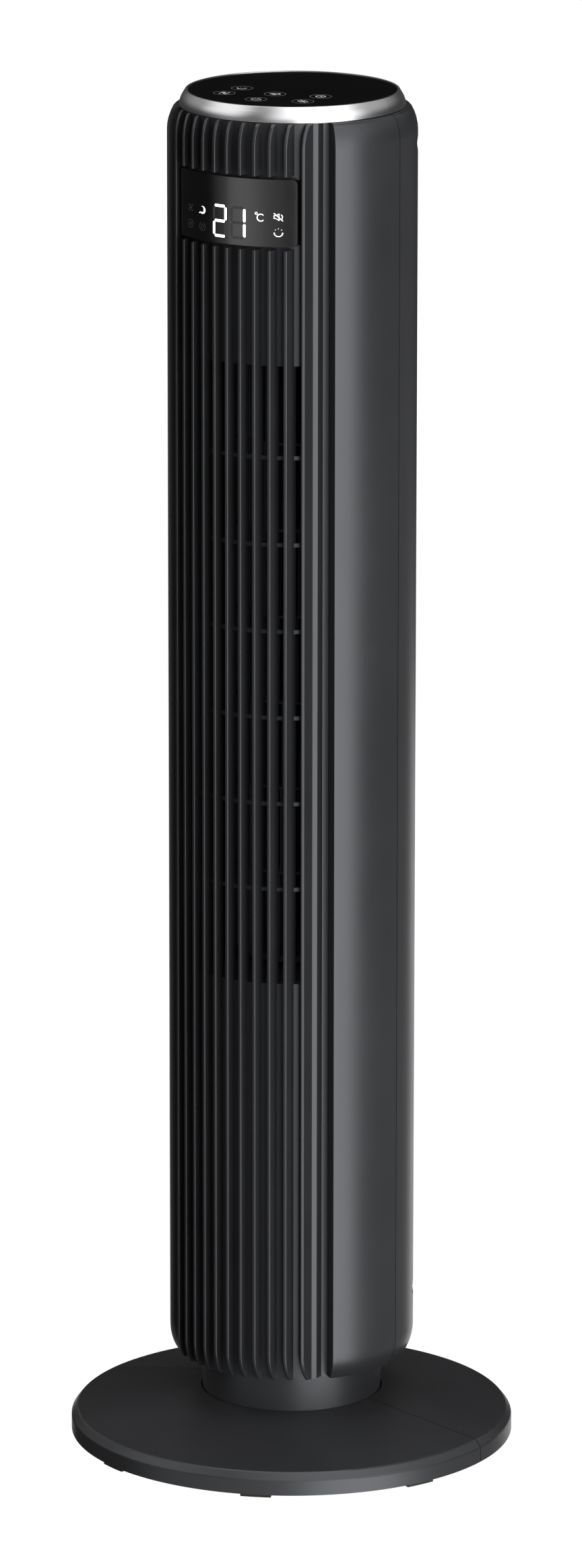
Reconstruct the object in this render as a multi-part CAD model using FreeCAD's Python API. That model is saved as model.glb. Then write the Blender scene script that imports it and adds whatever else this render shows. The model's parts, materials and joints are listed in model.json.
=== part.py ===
"""Tower fan: a slim oscillating tower with a cross-flow impeller, on a round two-part base.

Millimetres, +Z up, the front faces -Y, and the origin is on the floor under the tower's axis.
Angles called phi are measured round the tower from the front (-Y) towards +X.
"""
import FreeCAD, Part
import math
import os

from FreeCAD import Vector

os.makedirs("parts", exist_ok=True)

# ------------------------------------------------------------------ driving dimensions
OVERALL_HEIGHT = 919.5
FOOT_HEIGHT = 2.0

BASE_RADIUS = 149.2
BASE_RIM_TOP = 12.2          # top of the upright rim wall
BASE_BEVEL_RADIUS = 145.2    # where the rim's bevel meets the shallow cone
BASE_BEVEL_TOP = 17.2
BASE_CONE_TOP = 31.5
BASE_SKIN = 2.6
BASE_HOLE_RADIUS = 61.2
SEAM_GAP = 0.7               # joint line between two halves

NECK_RADIUS = 60.3
NECK_WALL = 3.0
NECK_FLANGE_RADIUS = 75.0
NECK_FLANGE_Z = (13.0, 16.0)
NECK_ROOF_Z = (66.0, 70.0)
SPIGOT_RADIUS = 40.0
SPIGOT_WALL = 4.0

TOWER_RADIUS = 82.2
TOWER_BOTTOM = 58.5
SHOULDER_TOP = 909.1
SHOULDER_ROUND = 28.7        # arc radius of the rounded shoulder, up to where its slope is SHOULDER_ANGLE
SHOULDER_ANGLE = 30.0
SHOULDER_EDGE_ROUND = 3.4    # tighter arc above it, up to SHOULDER_END_ANGLE
SHOULDER_END_ANGLE = 80.0
FOOT_ROUND = 30.0            # arc radius at the tower's foot, and the height it takes up
FOOT_RISE = 17.4
SKIN = 2.5
TOWER_FLANGE = 2.5
TOWER_FOOT_HOLE = 63.2
TOWER_TOP_HOLE = 66.0

RECESS_HALF_ANGLE = 51.6     # front recess, between its side walls
RECESS_FLOOR_RADIUS = 70.0
LEDGE_ANGLE = 44.0           # inner edge of the ledge that carries the grille
GRILLE_FLOOR_RADIUS = 74.3
GRILLE_FLOOR_THICKNESS = 2.2
GRILLE_HALF_WIDTH = 52.3
FIN_COUNT = 11
FIN_PITCH = 9.75
FIN_THICKNESS = 2.3
FIN_TIP_ROUND = 0.7
FIN_BEVEL_HEIGHT = 1.9       # bevel at the fins' upper ends, and how far in it goes for each millimetre up
FIN_BEVEL_SLOPE = 1.42
GRILLE_LIP = 2.0             # edge of the grille that lies in the recess
WINDOW_Z = (333.0, 749.6)    # air outlet
RIB_PITCH = 58.2
RIB_COUNT = 6
RIB_HEIGHT = 2.6
OUTLET_MID_Z = 543.1

LENS_RADIUS = 79.5
LENS_HALF_WIDTH = 44.6
LENS_Z = (829.2, 873.4)
LENS_CORNER = 3.0
LENS_THICKNESS = 2.0
DISPLAY_FIN_GAP_Z = (827.0, 875.6)

RING_FOOT_RADIUS = 74.3
RING_GROOVE = 0.4            # shadow gap under the ring's foot
RING_BULGE = (74.0, 4.1)     # radius and height above the shoulder where its rise and slope would meet
RING_BULGE_ROUND = 14.2
RING_TOP_RADIUS = 70.2
RING_EDGE_ROUND = 0.5
PANEL_RADIUS = 68.5
PANEL_DROP = 0.35            # the touch panel lies this far below the ring's top

SHELL_SCREW_X = 69.6
SHELL_SCREW_Z = (101.4, 884.4)
SHELL_SCREW_TUNNEL = 5.4     # radius of the screwdriver tunnels in the rear casing
SHELL_SCREW_SEAT_Y = 12.0    # where their heads rest
SHELL_SCREW_TIP_Y = -11.0
TONGUE_Z = (112.0, 868.0)    # tongues of the rear casing that lap behind the front one

INTAKE_Z = (318.0, 765.0)    # rear grille
INTAKE_HALF_ANGLE = 57.0
INTAKE_SLATS = 31
INTAKE_BANDS = 9

GRIP_Z = (838.0, 866.0)      # carrying recess at the back
GRIP_HALF_WIDTH = 42.0
GRIP_FLOOR_Y = 58.0

IMPELLER_Y = 10.0
IMPELLER_RADIUS = 44.5
IMPELLER_SEGMENTS = 7
IMPELLER_BLADES = 33
DUCT_CLEARANCE = 4.0
DUCT_WALL = 2.0
DUCT_OUTLET_HALF_WIDTH = 47.8
DUCT_OUTLET_Y = -45.4
PLATE_THICKNESS = 3.0
SCROLL_START = 100.0         # where the scroll wall begins, from +X round the impeller
SCROLL_GROWTH = 2.4          # how much wider its gap is where it reaches the outlet
SCROLL_LIP = 12.0

GEAR_MODULE = 1.0
SUN_TEETH = 54
PINION_TEETH = 18
PRESSURE_ANGLE = 20.0
TOOTH_THINNING = 0.14
GEAR_Z = (70.0, 76.2)
HUB_RADIUS = 14.0
HUB_BORE = 9.0
BEARING_RADIUS = 53.0
BALL_COUNT = 20
BALL_RADIUS = 2.38
LOWER_RACE_Z = (70.0, 71.2)
UPPER_RACE_Z = (76.0, 77.2)
TURNTABLE_Z = (77.2, 80.2)
STOP_RADIUS = 40.0
STOP_PEG_RADIUS = 2.5
SWING_HALF_ANGLE = 45.0
STOP_PLAY_ANGLE = 0.8

MOTOR_RADIUS = 34.0
MOTOR_Z = (262.0, 318.0)
SHAFT_RADIUS = 4.0
RUNNING_CLEARANCE = 0.05

BOARD_Y = 44.0
BOARD_Z = (108.0, 236.0)
BOARD_HALF_WIDTH = 44.0
BOARD_THICKNESS = 1.6

KEY_CENTRES = ((-30.2, -14.1), (-30.2, -35.9), (0.0, -21.8), (0.0, -45.3), (30.2, -14.1), (30.2, -35.9))

SMALL_SHANK = 0.95           # radii of the screws' shanks, which stand in for their threads
MEDIUM_SHANK = 1.2
RETAINER_SHANK = 1.0
SHELL_SHANK = 1.25
MOUNT_SHANK = 2.0
TURNTABLE_SCREW_PHI = (68.0, 112.0, 248.0, 292.0)
TURNTABLE_SCREW_RADIUS = 70.0
TURNTABLE_SCREW_RECESS = 1.6
INTAKE_SCREW_SEAT_Y = 80.9
DRIVE_EAR = 1.5
RETAINER_Z = (61.0, 64.0)
RETAINER_SCREW_PHI = (60.0, 180.0, 300.0)
RETAINER_SCREW_RADIUS = 11.5
SUN_SCREW_PHI = (30.0, 150.0, 270.0)
SUN_SCREW_RADIUS = 22.3
SUN_SCREW_RECESS = 2.2
SUN_BORE = 18.6
PINION_Y = GEAR_MODULE * (SUN_TEETH + PINION_TEETH) / 2
PINION_SHAFT_RADIUS = 3.0
DRIVE_RADIUS = 17.5
DRIVE_HEIGHT = 18.0
DRIVE_SCREW_X = (-21.5, 21.5)
BUSH_RADIUS = 17.0
LOCK_NUT_Z = (3.6, 9.8)
HUB_PLATE_Z = (9.8, 12.8)

PAST = 1.0                   # how far a cut runs past the face that it opens
FAR = 400.0                  # reach of a cutting block


# ------------------------------------------------------------------ shape helpers
def polar(radius, phi, z=0.0):
    """Point at an angle phi from the front, turning towards +X."""
    angle = math.radians(phi)
    return Vector(radius * math.sin(angle), -radius * math.cos(angle), z)


def cylinder(radius, z_low, z_high, x=0.0, y=0.0):
    return Part.makeCylinder(radius, z_high - z_low, Vector(x, y, z_low))


def cylinder_y(radius, y_low, y_high, x, z):
    """Cylinder lying along Y."""
    return Part.makeCylinder(radius, y_high - y_low, Vector(x, y_low, z), Vector(0, 1, 0))


def tube(outer, inner, z_low, z_high, x=0.0, y=0.0):
    return cylinder(outer, z_low, z_high, x, y).cut(cylinder(inner, z_low - 1, z_high + 1, x, y))


def block(x_range, y_range, z_range):
    size = (x_range[1] - x_range[0], y_range[1] - y_range[0], z_range[1] - z_range[0])
    return Part.makeBox(*size, Vector(x_range[0], y_range[0], z_range[0]))


def sector(inner, outer, phi_low, phi_high, z_range):
    """Curved block between two radii and two angles."""
    middle = (phi_low + phi_high) / 2
    z_low = z_range[0]
    a, b = polar(outer, phi_low, z_low), polar(outer, phi_high, z_low)
    c, d = polar(inner, phi_high, z_low), polar(inner, phi_low, z_low)
    edges = [
        Part.Arc(a, polar(outer, middle, z_low), b).toShape(),
        Part.makeLine(b, c),
        Part.Arc(c, polar(inner, middle, z_low), d).toShape(),
        Part.makeLine(d, a),
    ]
    return Part.Face(Part.Wire(edges)).extrude(Vector(0, 0, z_range[1] - z_low))


def outline(points, upright=False):
    """Closed wire through (u, v) or (u, v, rounding) corners, in XY, or in XZ when upright."""
    place = (lambda u, v: Vector(u, 0, v)) if upright else (lambda u, v: Vector(u, v, 0))
    corners = []
    for i, point in enumerate(points):
        here = Vector(point[0], point[1], 0)
        radius = point[2] if len(point) > 2 else 0.0
        if not radius:
            corners.append((here,))
            continue
        before = Vector(points[i - 1][0], points[i - 1][1], 0) - here
        after = Vector(points[(i + 1) % len(points)][0], points[(i + 1) % len(points)][1], 0) - here
        before.normalize()
        after.normalize()
        half = before.getAngle(after) / 2
        reach = radius / math.tan(half)
        inward = (before + after).normalize()
        middle = here + inward * (radius / math.sin(half) - radius)
        corners.append((here + before * reach, middle, here + after * reach))
    edges = []
    for i, corner in enumerate(corners):
        if len(corner) == 3:
            edges.append(Part.Arc(*[place(p.x, p.y) for p in corner]).toShape())
        start, end = corner[-1], corners[(i + 1) % len(corners)][0]
        if start.distanceToPoint(end) > 1e-6:
            edges.append(Part.makeLine(place(start.x, start.y), place(end.x, end.y)))
    return Part.Wire(edges)


def turned(points):
    """Solid of revolution about Z from (radius, z[, rounding]) corners."""
    return Part.Face(outline(points, upright=True)).revolve(Vector(0, 0, 0), Vector(0, 0, 1), 360)


def extruded(points, z_range):
    return Part.Face(outline(points)).translated(Vector(0, 0, z_range[0])).extrude(
        Vector(0, 0, z_range[1] - z_range[0]))


def rounded_plate(half_width, z_range, corner, y_range):
    """Upright plate with rounded corners, thick along Y."""
    low, high = z_range
    points = [(-half_width, low, corner), (half_width, low, corner), (half_width, high, corner),
              (-half_width, high, corner)]
    face = Part.Face(outline(points, upright=True)).translated(Vector(0, y_range[0], 0))
    return face.extrude(Vector(0, y_range[1] - y_range[0], 0))


def fused(shapes):
    """One solid from pieces that touch or overlap."""
    result = shapes[0].multiFuse(shapes[1:]) if len(shapes) > 1 else shapes[0]
    return result.removeSplitter()


def front_of(y):
    return block((-FAR, FAR), (-FAR, y), (-FAR, 1200 + FAR))


def rear_of(y):
    return block((-FAR, FAR), (y, FAR), (-FAR, 1200 + FAR))


def pan_head_screw(tip, seat, direction, shank_radius, head_radius, head_height):
    """Screw from its tip to the seat under its head, plus the head with a cross slot."""
    shank = Part.makeCylinder(shank_radius, tip.distanceToPoint(seat), tip, direction)
    head = Part.makeCylinder(head_radius, head_height, seat, direction)
    screw = shank.fuse(head)
    slot_depth = head_height * 0.5
    slot_length = head_radius * 1.2
    slot_width = head_radius * 0.25
    slot_floor = seat + direction * (head_height - slot_depth)
    turned_a_little = Vector(0.31, 0.52, 0.8)
    across = direction.cross(turned_a_little).normalize()
    for side in (across, direction.cross(across)):
        other = direction.cross(side)
        corner = slot_floor - side * (slot_length / 2) - other * (slot_width / 2)
        far_corner = corner + side * slot_length
        corners = [corner, far_corner, far_corner + other * slot_width, corner + other * slot_width, corner]
        slot = Part.Face(Part.makePolygon(corners)).extrude(direction * (slot_depth + PAST))
        screw = screw.cut(slot)
    return screw.removeSplitter()


def small_screw(seat, direction):
    """Screw of 1.9 mm for boards and covers, from the point under its head."""
    return pan_head_screw(seat - direction * 4.2, seat, direction, SMALL_SHANK, 2.0, 1.2)


def medium_screw(seat, direction):
    """Screw of 2.4 mm for the turntable, the drive and the main board."""
    return pan_head_screw(seat - direction * 8.0, seat, direction, MEDIUM_SHANK, 2.6, 1.5)


def group(solids):
    return Part.makeCompound(solids)


def both_sides(phi_low, phi_high):
    """A span of angles on the right, and its mirror image on the left."""
    return ((phi_low, phi_high), (-phi_high, -phi_low))


# ------------------------------------------------------------------ the tower's skin
FOOT_END = TOWER_BOTTOM + FOOT_RISE
SHOULDER_SINE = math.sin(math.radians(SHOULDER_ANGLE))
EDGE_RISE = SHOULDER_EDGE_ROUND * (math.sin(math.radians(SHOULDER_END_ANGLE)) - SHOULDER_SINE)
EDGE_START = SHOULDER_TOP - EDGE_RISE
SHOULDER_START = EDGE_START - SHOULDER_ROUND * SHOULDER_SINE


def skin_radius(z, inset, edge_start=EDGE_START):
    """Radius of the skin, set in by inset, at height z; the tight edge arc starts at edge_start."""
    if z > edge_start:
        inward = (SHOULDER_ROUND - SHOULDER_EDGE_ROUND) * (1 - math.cos(math.radians(SHOULDER_ANGLE)))
        rounding, past = SHOULDER_EDGE_ROUND, z - EDGE_START + SHOULDER_EDGE_ROUND * SHOULDER_SINE
    elif z > SHOULDER_START:
        inward, rounding, past = 0.0, SHOULDER_ROUND, z - SHOULDER_START
    else:
        inward, rounding, past = 0.0, FOOT_ROUND, max(FOOT_END - z, 0.0)
    return TOWER_RADIUS - inset - inward - rounding + math.sqrt(rounding * rounding - past * past)


def envelope(inset=0.0, z_low=TOWER_BOTTOM, z_high=SHOULDER_TOP, edge_start=EDGE_START):
    """Solid inside the tower's skin: a cylinder with its foot and shoulder rounded."""
    def at(z):
        return Vector(skin_radius(z, inset, edge_start), 0, z)

    def arc(start, end):
        return Part.Arc(at(start), at((start + end) / 2), at(end)).toShape()

    shoulder_end = min(z_high, edge_start)
    edges = [
        Part.makeLine(Vector(0, 0, z_low), at(z_low)),
        arc(z_low, FOOT_END),
        Part.makeLine(at(FOOT_END), at(SHOULDER_START)),
        arc(SHOULDER_START, shoulder_end),
    ]
    if z_high > shoulder_end:
        edges.append(arc(shoulder_end, z_high))
    edges += [
        Part.makeLine(at(z_high), Vector(0, 0, z_high)),
        Part.makeLine(Vector(0, 0, z_high), Vector(0, 0, z_low)),
    ]
    return Part.Face(Part.Wire(edges)).revolve(Vector(0, 0, 0), Vector(0, 0, 1), 360)


SKIN_SOLID = envelope()


def casing():
    """Thin casing with a flange round the opening at its foot and at its top."""
    hollow = envelope(SKIN, TOWER_BOTTOM + TOWER_FLANGE, SHOULDER_TOP - TOWER_FLANGE)
    shape = SKIN_SOLID.cut(hollow)
    shape = shape.cut(cylinder(TOWER_FOOT_HOLE, TOWER_BOTTOM - 1, TOWER_BOTTOM + TOWER_FLANGE + 1))
    return shape.cut(cylinder(TOWER_TOP_HOLE, SHOULDER_TOP - TOWER_FLANGE - 1, SHOULDER_TOP + 1))


def turntable_screw_cuts():
    """Clearance holes and head recesses in the flange at the tower's foot."""
    low = TOWER_BOTTOM - PAST
    cuts = []
    for phi in TURNTABLE_SCREW_PHI:
        place = polar(TURNTABLE_SCREW_RADIUS, phi)
        cuts.append(cylinder(1.6, low, TOWER_BOTTOM + TOWER_FLANGE + PAST, place.x, place.y))
        cuts.append(cylinder(3.0, low, TOWER_BOTTOM + TURNTABLE_SCREW_RECESS, place.x, place.y))
    return cuts


DUCT_Z = (WINDOW_Z[0], WINDOW_Z[1] + 0.4)
LOWER_PLATE_Z = (DUCT_Z[0] - PLATE_THICKNESS, DUCT_Z[0])
UPPER_PLATE_Z = (DUCT_Z[1], DUCT_Z[1] + PLATE_THICKNESS)
SHELF = 2.0                  # height of the ribs that carry the duct's end plates
SHELF_INNER_RADIUS = 76.8


def plate_shelves(phi_low, phi_high):
    """Ribs inside a casing half, under the lower duct plate and over the upper one."""
    outer = TOWER_RADIUS - SKIN + 0.6
    spans = (
        (LOWER_PLATE_Z[0] - SHELF, LOWER_PLATE_Z[0]),
        (UPPER_PLATE_Z[1], UPPER_PLATE_Z[1] + SHELF),
    )
    return [sector(SHELF_INNER_RADIUS, outer, phi_low, phi_high, span) for span in spans]


# ------------------------------------------------------------------ front casing
RECESS_WALL = 2.2


def shell_screw_places():
    return [(side * SHELL_SCREW_X, z) for side in (-1, 1) for z in SHELL_SCREW_Z]


def front_shell():
    """Front half of the casing: two side walls beside the recess, with ledges for the grille."""
    half_gap = SEAM_GAP / 2
    full = (TOWER_BOTTOM, SHOULDER_TOP)
    inner = RECESS_FLOOR_RADIUS - RECESS_WALL
    wall_end = RECESS_HALF_ANGLE + math.degrees(RECESS_WALL / TOWER_RADIUS)
    shape = casing().common(front_of(-half_gap))
    shape = shape.cut(sector(RECESS_FLOOR_RADIUS, FAR, -RECESS_HALF_ANGLE, RECESS_HALF_ANGLE,
                             (TOWER_BOTTOM - PAST, SHOULDER_TOP + PAST)))
    pieces = [shape]
    for span in both_sides(RECESS_HALF_ANGLE, wall_end):
        pieces.append(sector(inner, TOWER_RADIUS + PAST, *span, full).common(SKIN_SOLID))
    for span in both_sides(LEDGE_ANGLE, wall_end):
        pieces.append(sector(inner, RECESS_FLOOR_RADIUS, *span, full))
    for span in both_sides(62.0, 86.0):
        pieces += plate_shelves(*span)
    for x, z in shell_screw_places():
        pieces.append(cylinder_y(3.5, -40, -half_gap, x, z).common(envelope(0.8)))
    shape = fused(pieces)
    for x, z in shell_screw_places():
        shape = shape.cut(cylinder_y(SHELL_SHANK, SHELL_SCREW_TIP_Y - PAST, 0, x, z))
    for cut in turntable_screw_cuts():
        shape = shape.cut(cut)
    return shape


# ------------------------------------------------------------------ front grille
def fin_positions():
    middle = (FIN_COUNT - 1) / 2
    return [(i - middle) * FIN_PITCH for i in range(FIN_COUNT)]


FIN_ENVELOPE = envelope(edge_start=SHOULDER_TOP)


def fin_end_trim():
    """Ring that bevels the fins' upper ends, about as far in as the shoulder's rounded edge."""
    low, high = SHOULDER_TOP - FIN_BEVEL_HEIGHT, SHOULDER_TOP + PAST
    wide = skin_radius(low, 0, SHOULDER_TOP) + 0.1
    cone = Part.makeCone(wide, wide - FIN_BEVEL_SLOPE * (high - low), high - low, Vector(0, 0, low))
    return cylinder(TOWER_RADIUS + PAST, low, high).cut(cone)


def fin(x):
    """Upright fin, parallel to Y, its rounded tip lying on the tower's skin."""
    span = (x - FIN_THICKNESS / 2, x + FIN_THICKNESS / 2)
    shape = block(span, (-90, -40), (TOWER_BOTTOM, SHOULDER_TOP)).common(FIN_ENVELOPE)
    tips = []
    for edge in shape.Edges:
        middle = edge.valueAt((edge.FirstParameter + edge.LastParameter) / 2)
        on_skin = abs(math.hypot(middle.x, middle.y) - skin_radius(middle.z, 0, SHOULDER_TOP)) < 0.01
        on_side = min(abs(middle.x - side) for side in span) < 1e-4
        if on_skin and on_side:
            tips.append(edge)
    return shape.makeFillet(FIN_TIP_ROUND, tips).cut(fin_end_trim())


def rib_heights():
    middle = (RIB_COUNT - 1) / 2
    return [OUTLET_MID_Z + (i - middle) * RIB_PITCH for i in range(RIB_COUNT)]


def front_block(half_width, z_range):
    """Block that reaches across the front of the grille."""
    return block((-half_width, half_width), (-90, -20), z_range)


def front_grille():
    """Curved cover with the outlet window, upright fins in front of it and level ribs behind them."""
    inner = GRILLE_FLOOR_RADIUS - GRILLE_FLOOR_THICKNESS
    full = (TOWER_BOTTOM, SHOULDER_TOP)
    floor = tube(GRILLE_FLOOR_RADIUS, inner, *full).common(front_block(GRILLE_HALF_WIDTH, full))
    band = tube(GRILLE_FLOOR_RADIUS, RECESS_FLOOR_RADIUS, *full)
    lips = band.common(front_block(GRILLE_HALF_WIDTH, full))
    lips = lips.cut(front_block(GRILLE_HALF_WIDTH - GRILLE_LIP, full))
    shape = fused([floor, lips])
    opening = abs(fin_positions()[0]) - FIN_THICKNESS / 2
    shape = shape.cut(front_block(opening, WINDOW_Z))
    fins = [fin(x).cut(cylinder(inner + 0.2, *full)) for x in fin_positions()]
    gap = front_block(LENS_HALF_WIDTH + 1, DISPLAY_FIN_GAP_Z)
    gap = gap.cut(cylinder(GRILLE_FLOOR_RADIUS, *DISPLAY_FIN_GAP_Z))
    fins = [fins[0]] + [one.cut(gap) for one in fins[1:-1]] + [fins[-1]]
    ribs = []
    for z in rib_heights():
        span = (z - RIB_HEIGHT / 2, z + RIB_HEIGHT / 2)
        ribs.append(tube(GRILLE_FLOOR_RADIUS, inner, *span).common(front_block(opening + PAST, span)))
    shape = fused([shape] + fins + ribs)
    hole_x = (1 - LENS_HALF_WIDTH, LENS_HALF_WIDTH - 1)
    display_hole = block(hole_x, (-76.5, -20), (LENS_Z[0] + 0.8, LENS_Z[1] - 0.8))
    shape = shape.cut(display_hole)
    for x, z in display_screw_places():
        boss = cylinder_y(3.0, -66, BOX_FLANGE_Y[0], x, z)
        shape = shape.fuse(boss.common(cylinder(inner + 0.5, *full)))
    for x, z in display_screw_places():
        shape = shape.cut(cylinder_y(SMALL_SHANK, -64.5, BOX_FLANGE_Y[1], x, z))
    return shape.removeSplitter()


# ------------------------------------------------------------------ display
BOX_FLANGE_Y = (-59.6, -57.6)
BOX_WALL = 1.6
BOX_DIVIDER = 1.4
BOX_DIVIDER_X = (-25.9, 25.9)
DISPLAY_BOARD_Y = (-57.4, -55.8)


def display_screw_places():
    return [(x, z) for x in (-35.0, 35.0) for z in (LENS_Z[0] - 3.6, LENS_Z[1] + 3.6)]


def display_lens():
    plate = rounded_plate(LENS_HALF_WIDTH, LENS_Z, LENS_CORNER, (-90, -40))
    return plate.common(tube(LENS_RADIUS, LENS_RADIUS - LENS_THICKNESS, *LENS_Z))


def display_light_box():
    """Open box behind the lens that keeps the lit symbols apart, screwed to the grille from behind."""
    half, low, high = LENS_HALF_WIDTH - 1.3, LENS_Z[0] + 1.1, LENS_Z[1] - 1.1
    outer = block((-half, half), (-90, BOX_FLANGE_Y[1]), (low, high))
    outer = outer.common(cylinder(LENS_RADIUS - LENS_THICKNESS, low, high))
    hollow = block((BOX_WALL - half, half - BOX_WALL), (-95, -20), (low + BOX_WALL, high - BOX_WALL))
    flange = block((-40, 40), BOX_FLANGE_Y, (LENS_Z[0] - 7, LENS_Z[1] + 7))
    pieces = [outer.fuse(flange).cut(hollow)]
    for x in BOX_DIVIDER_X:
        pieces.append(block((x - BOX_DIVIDER / 2, x + BOX_DIVIDER / 2), (-72, BOX_FLANGE_Y[1]), (low, high)))
    shape = fused(pieces)
    for x, z in display_screw_places():
        shape = shape.cut(cylinder_y(1.4, -70, -50, x, z))
    return shape


def display_board():
    return block((-38, 38), DISPLAY_BOARD_Y, (LENS_Z[0] + 2, LENS_Z[1] - 2))


def led_block(x, z, half_width, half_height, front_y):
    x_range = (x - half_width, x + half_width)
    return block(x_range, (front_y, DISPLAY_BOARD_Y[0]), (z - half_height, z + half_height))


def display_leds():
    """Two digit blocks and the small symbol blocks, standing on the display board."""
    middle = (LENS_Z[0] + LENS_Z[1]) / 2
    digits = [led_block(x, middle, 10.5, 15.0, -71.5) for x in (-12.0, 12.0)]
    places = [(x, middle + rise) for x in (-32.0, 32.0) for rise in (-11.0, 0.0, 11.0)]
    symbols = [led_block(x, z, 4.0, 4.5, -64.5) for x, z in places]
    return group(digits + symbols)


def display_screws():
    return [small_screw(Vector(x, BOX_FLANGE_Y[1], z), Vector(0, 1, 0)) for x, z in display_screw_places()]


# ------------------------------------------------------------------ rear casing and intake grille
FRAME_ANGLE = 3.0            # rebate round the intake opening that carries its grille
FRAME_WIDTH = 4.0
TONGUE_RADIUS = 77.6
GRILLE_GAP = 0.4
GRILLE_GAP_ANGLE = 0.3
BORDER_ANGLE = 2.9
SLAT_SHARE = 0.56            # part of the pitch that a slat takes up


def intake_screw_heights():
    return [INTAKE_Z[0] + 2.2, INTAKE_Z[1] - 2.2]


def grip_pocket(wall, back_y):
    """Room of the carrying recess, or its outside when widened by a wall."""
    x_span = (-GRIP_HALF_WIDTH - wall, GRIP_HALF_WIDTH + wall)
    return block(x_span, (GRIP_FLOOR_Y - wall, back_y), (GRIP_Z[0] - wall, GRIP_Z[1] + wall))


def rear_shell():
    """Rear half of the casing: frame for the intake grille, carrying recess and screw bosses."""
    half_gap = SEAM_GAP / 2
    inside = TOWER_RADIUS - SKIN
    low, high = 180 - INTAKE_HALF_ANGLE, 180 + INTAKE_HALF_ANGLE
    frame = sector(77.2, inside + 0.3, low - FRAME_ANGLE, high + FRAME_ANGLE,
                   (INTAKE_Z[0] - FRAME_WIDTH, INTAKE_Z[1] + FRAME_WIDTH))
    pieces = [casing().common(rear_of(half_gap)), frame, grip_pocket(2.0, FAR).common(SKIN_SOLID)]
    for x, z in shell_screw_places():
        boss = cylinder_y(SHELL_SCREW_TUNNEL + 1.2, half_gap, 60, x, z)
        pieces.append(boss.common(envelope(0.8)))
    for span in both_sides(87.0, 93.0):
        pieces.append(sector(TONGUE_RADIUS, inside - 0.15, *span, TONGUE_Z))
    for span in both_sides(91.0, 93.0):
        pieces.append(sector(TONGUE_RADIUS, inside + 0.5, *span, TONGUE_Z))
    for span in both_sides(94.0, 116.0):
        pieces += plate_shelves(*span)
    for x, z in board_screw_places():
        pieces.append(cylinder_y(3.4, BOARD_Y + BOARD_THICKNESS, 90, x, z).common(envelope(1.0)))
    shape = fused(pieces)

    shape = shape.cut(sector(inside + 0.2, FAR, low, high, INTAKE_Z))
    shape = shape.cut(sector(70, FAR, low + FRAME_ANGLE, high - FRAME_ANGLE,
                             (INTAKE_Z[0] + FRAME_WIDTH, INTAKE_Z[1] - FRAME_WIDTH)))
    shape = shape.cut(grip_pocket(0.0, FAR))
    for x, z in board_screw_places():
        shape = shape.cut(cylinder_y(MEDIUM_SHANK, BOARD_Y, BOARD_Y + 12, x, z))
    for x, z in shell_screw_places():
        shape = shape.cut(cylinder_y(1.6, 0, 60, x, z))
        shape = shape.cut(cylinder_y(SHELL_SCREW_TUNNEL, SHELL_SCREW_SEAT_Y, 60, x, z))
    for z in intake_screw_heights():
        shape = shape.cut(cylinder_y(SMALL_SHANK, 70, 95, 0, z))
    for cut in turntable_screw_cuts():
        shape = shape.cut(cut)
    return shape


def rear_grille():
    """Curved cover flush with the rear casing: upright slats in front of narrow level bands."""
    low = 180 - INTAKE_HALF_ANGLE + GRILLE_GAP_ANGLE
    high = 180 + INTAKE_HALF_ANGLE - GRILLE_GAP_ANGLE
    z_low, z_high = INTAKE_Z[0] + GRILLE_GAP, INTAKE_Z[1] - GRILLE_GAP
    inner, outer = TOWER_RADIUS - SKIN + 0.2, TOWER_RADIUS
    border = 4.6
    open_low, open_high = low + BORDER_ANGLE, high - BORDER_ANGLE
    middle = sector(inner - PAST, outer + PAST, open_low, open_high, (z_low + border, z_high - border))
    pieces = [sector(inner, outer, low, high, (z_low, z_high)).cut(middle)]
    step = (open_high - open_low) / (INTAKE_SLATS + 1)
    slat_half = step * SLAT_SHARE / 2
    slat_z = (z_low + border - 0.5, z_high - border + 0.5)
    for i in range(1, INTAKE_SLATS + 1):
        phi = open_low + i * step
        pieces.append(sector(inner + 0.7, outer, phi - slat_half, phi + slat_half, slat_z))
    band_step = (z_high - z_low) / (INTAKE_BANDS + 1)
    for i in range(1, INTAKE_BANDS + 1):
        z = z_low + i * band_step
        pieces.append(sector(inner, inner + 1.3, open_low - 0.3, open_high + 0.3, (z - 1.4, z + 1.4)))
    shape = fused(pieces)
    for z in intake_screw_heights():
        shape = shape.cut(cylinder_y(1.2, 70, 95, 0, z))
        shape = shape.cut(cylinder_y(2.1, INTAKE_SCREW_SEAT_Y, 95, 0, z))
    return shape


def intake_screws():
    return [small_screw(Vector(0, INTAKE_SCREW_SEAT_Y, z), Vector(0, 1, 0)) for z in intake_screw_heights()]


def shell_screws():
    """Four long screws that hold the two casing halves together."""
    back = Vector(0, 1, 0)
    screws = []
    for x, z in shell_screw_places():
        tip, seat = Vector(x, SHELL_SCREW_TIP_Y, z), Vector(x, SHELL_SCREW_SEAT_Y, z)
        screws.append(pan_head_screw(tip, seat, back, SHELL_SHANK, 2.8, 2.2))
    return group(screws)


# ------------------------------------------------------------------ top of the tower
PANEL_TOP = OVERALL_HEIGHT - PANEL_DROP
PANEL_THICKNESS = 2.2
DECK_Z = (SHOULDER_TOP + 0.1, SHOULDER_TOP + 2.1)
TOUCH_BOARD_Z = (DECK_Z[1] + 0.6, DECK_Z[1] + 2.2)
HOOK_PHI = (35.0, 145.0, 215.0, 325.0)
BOARD_POST_PHI = (0.0, 120.0, 240.0)
BOARD_POST_RADIUS = 56.0


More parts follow.
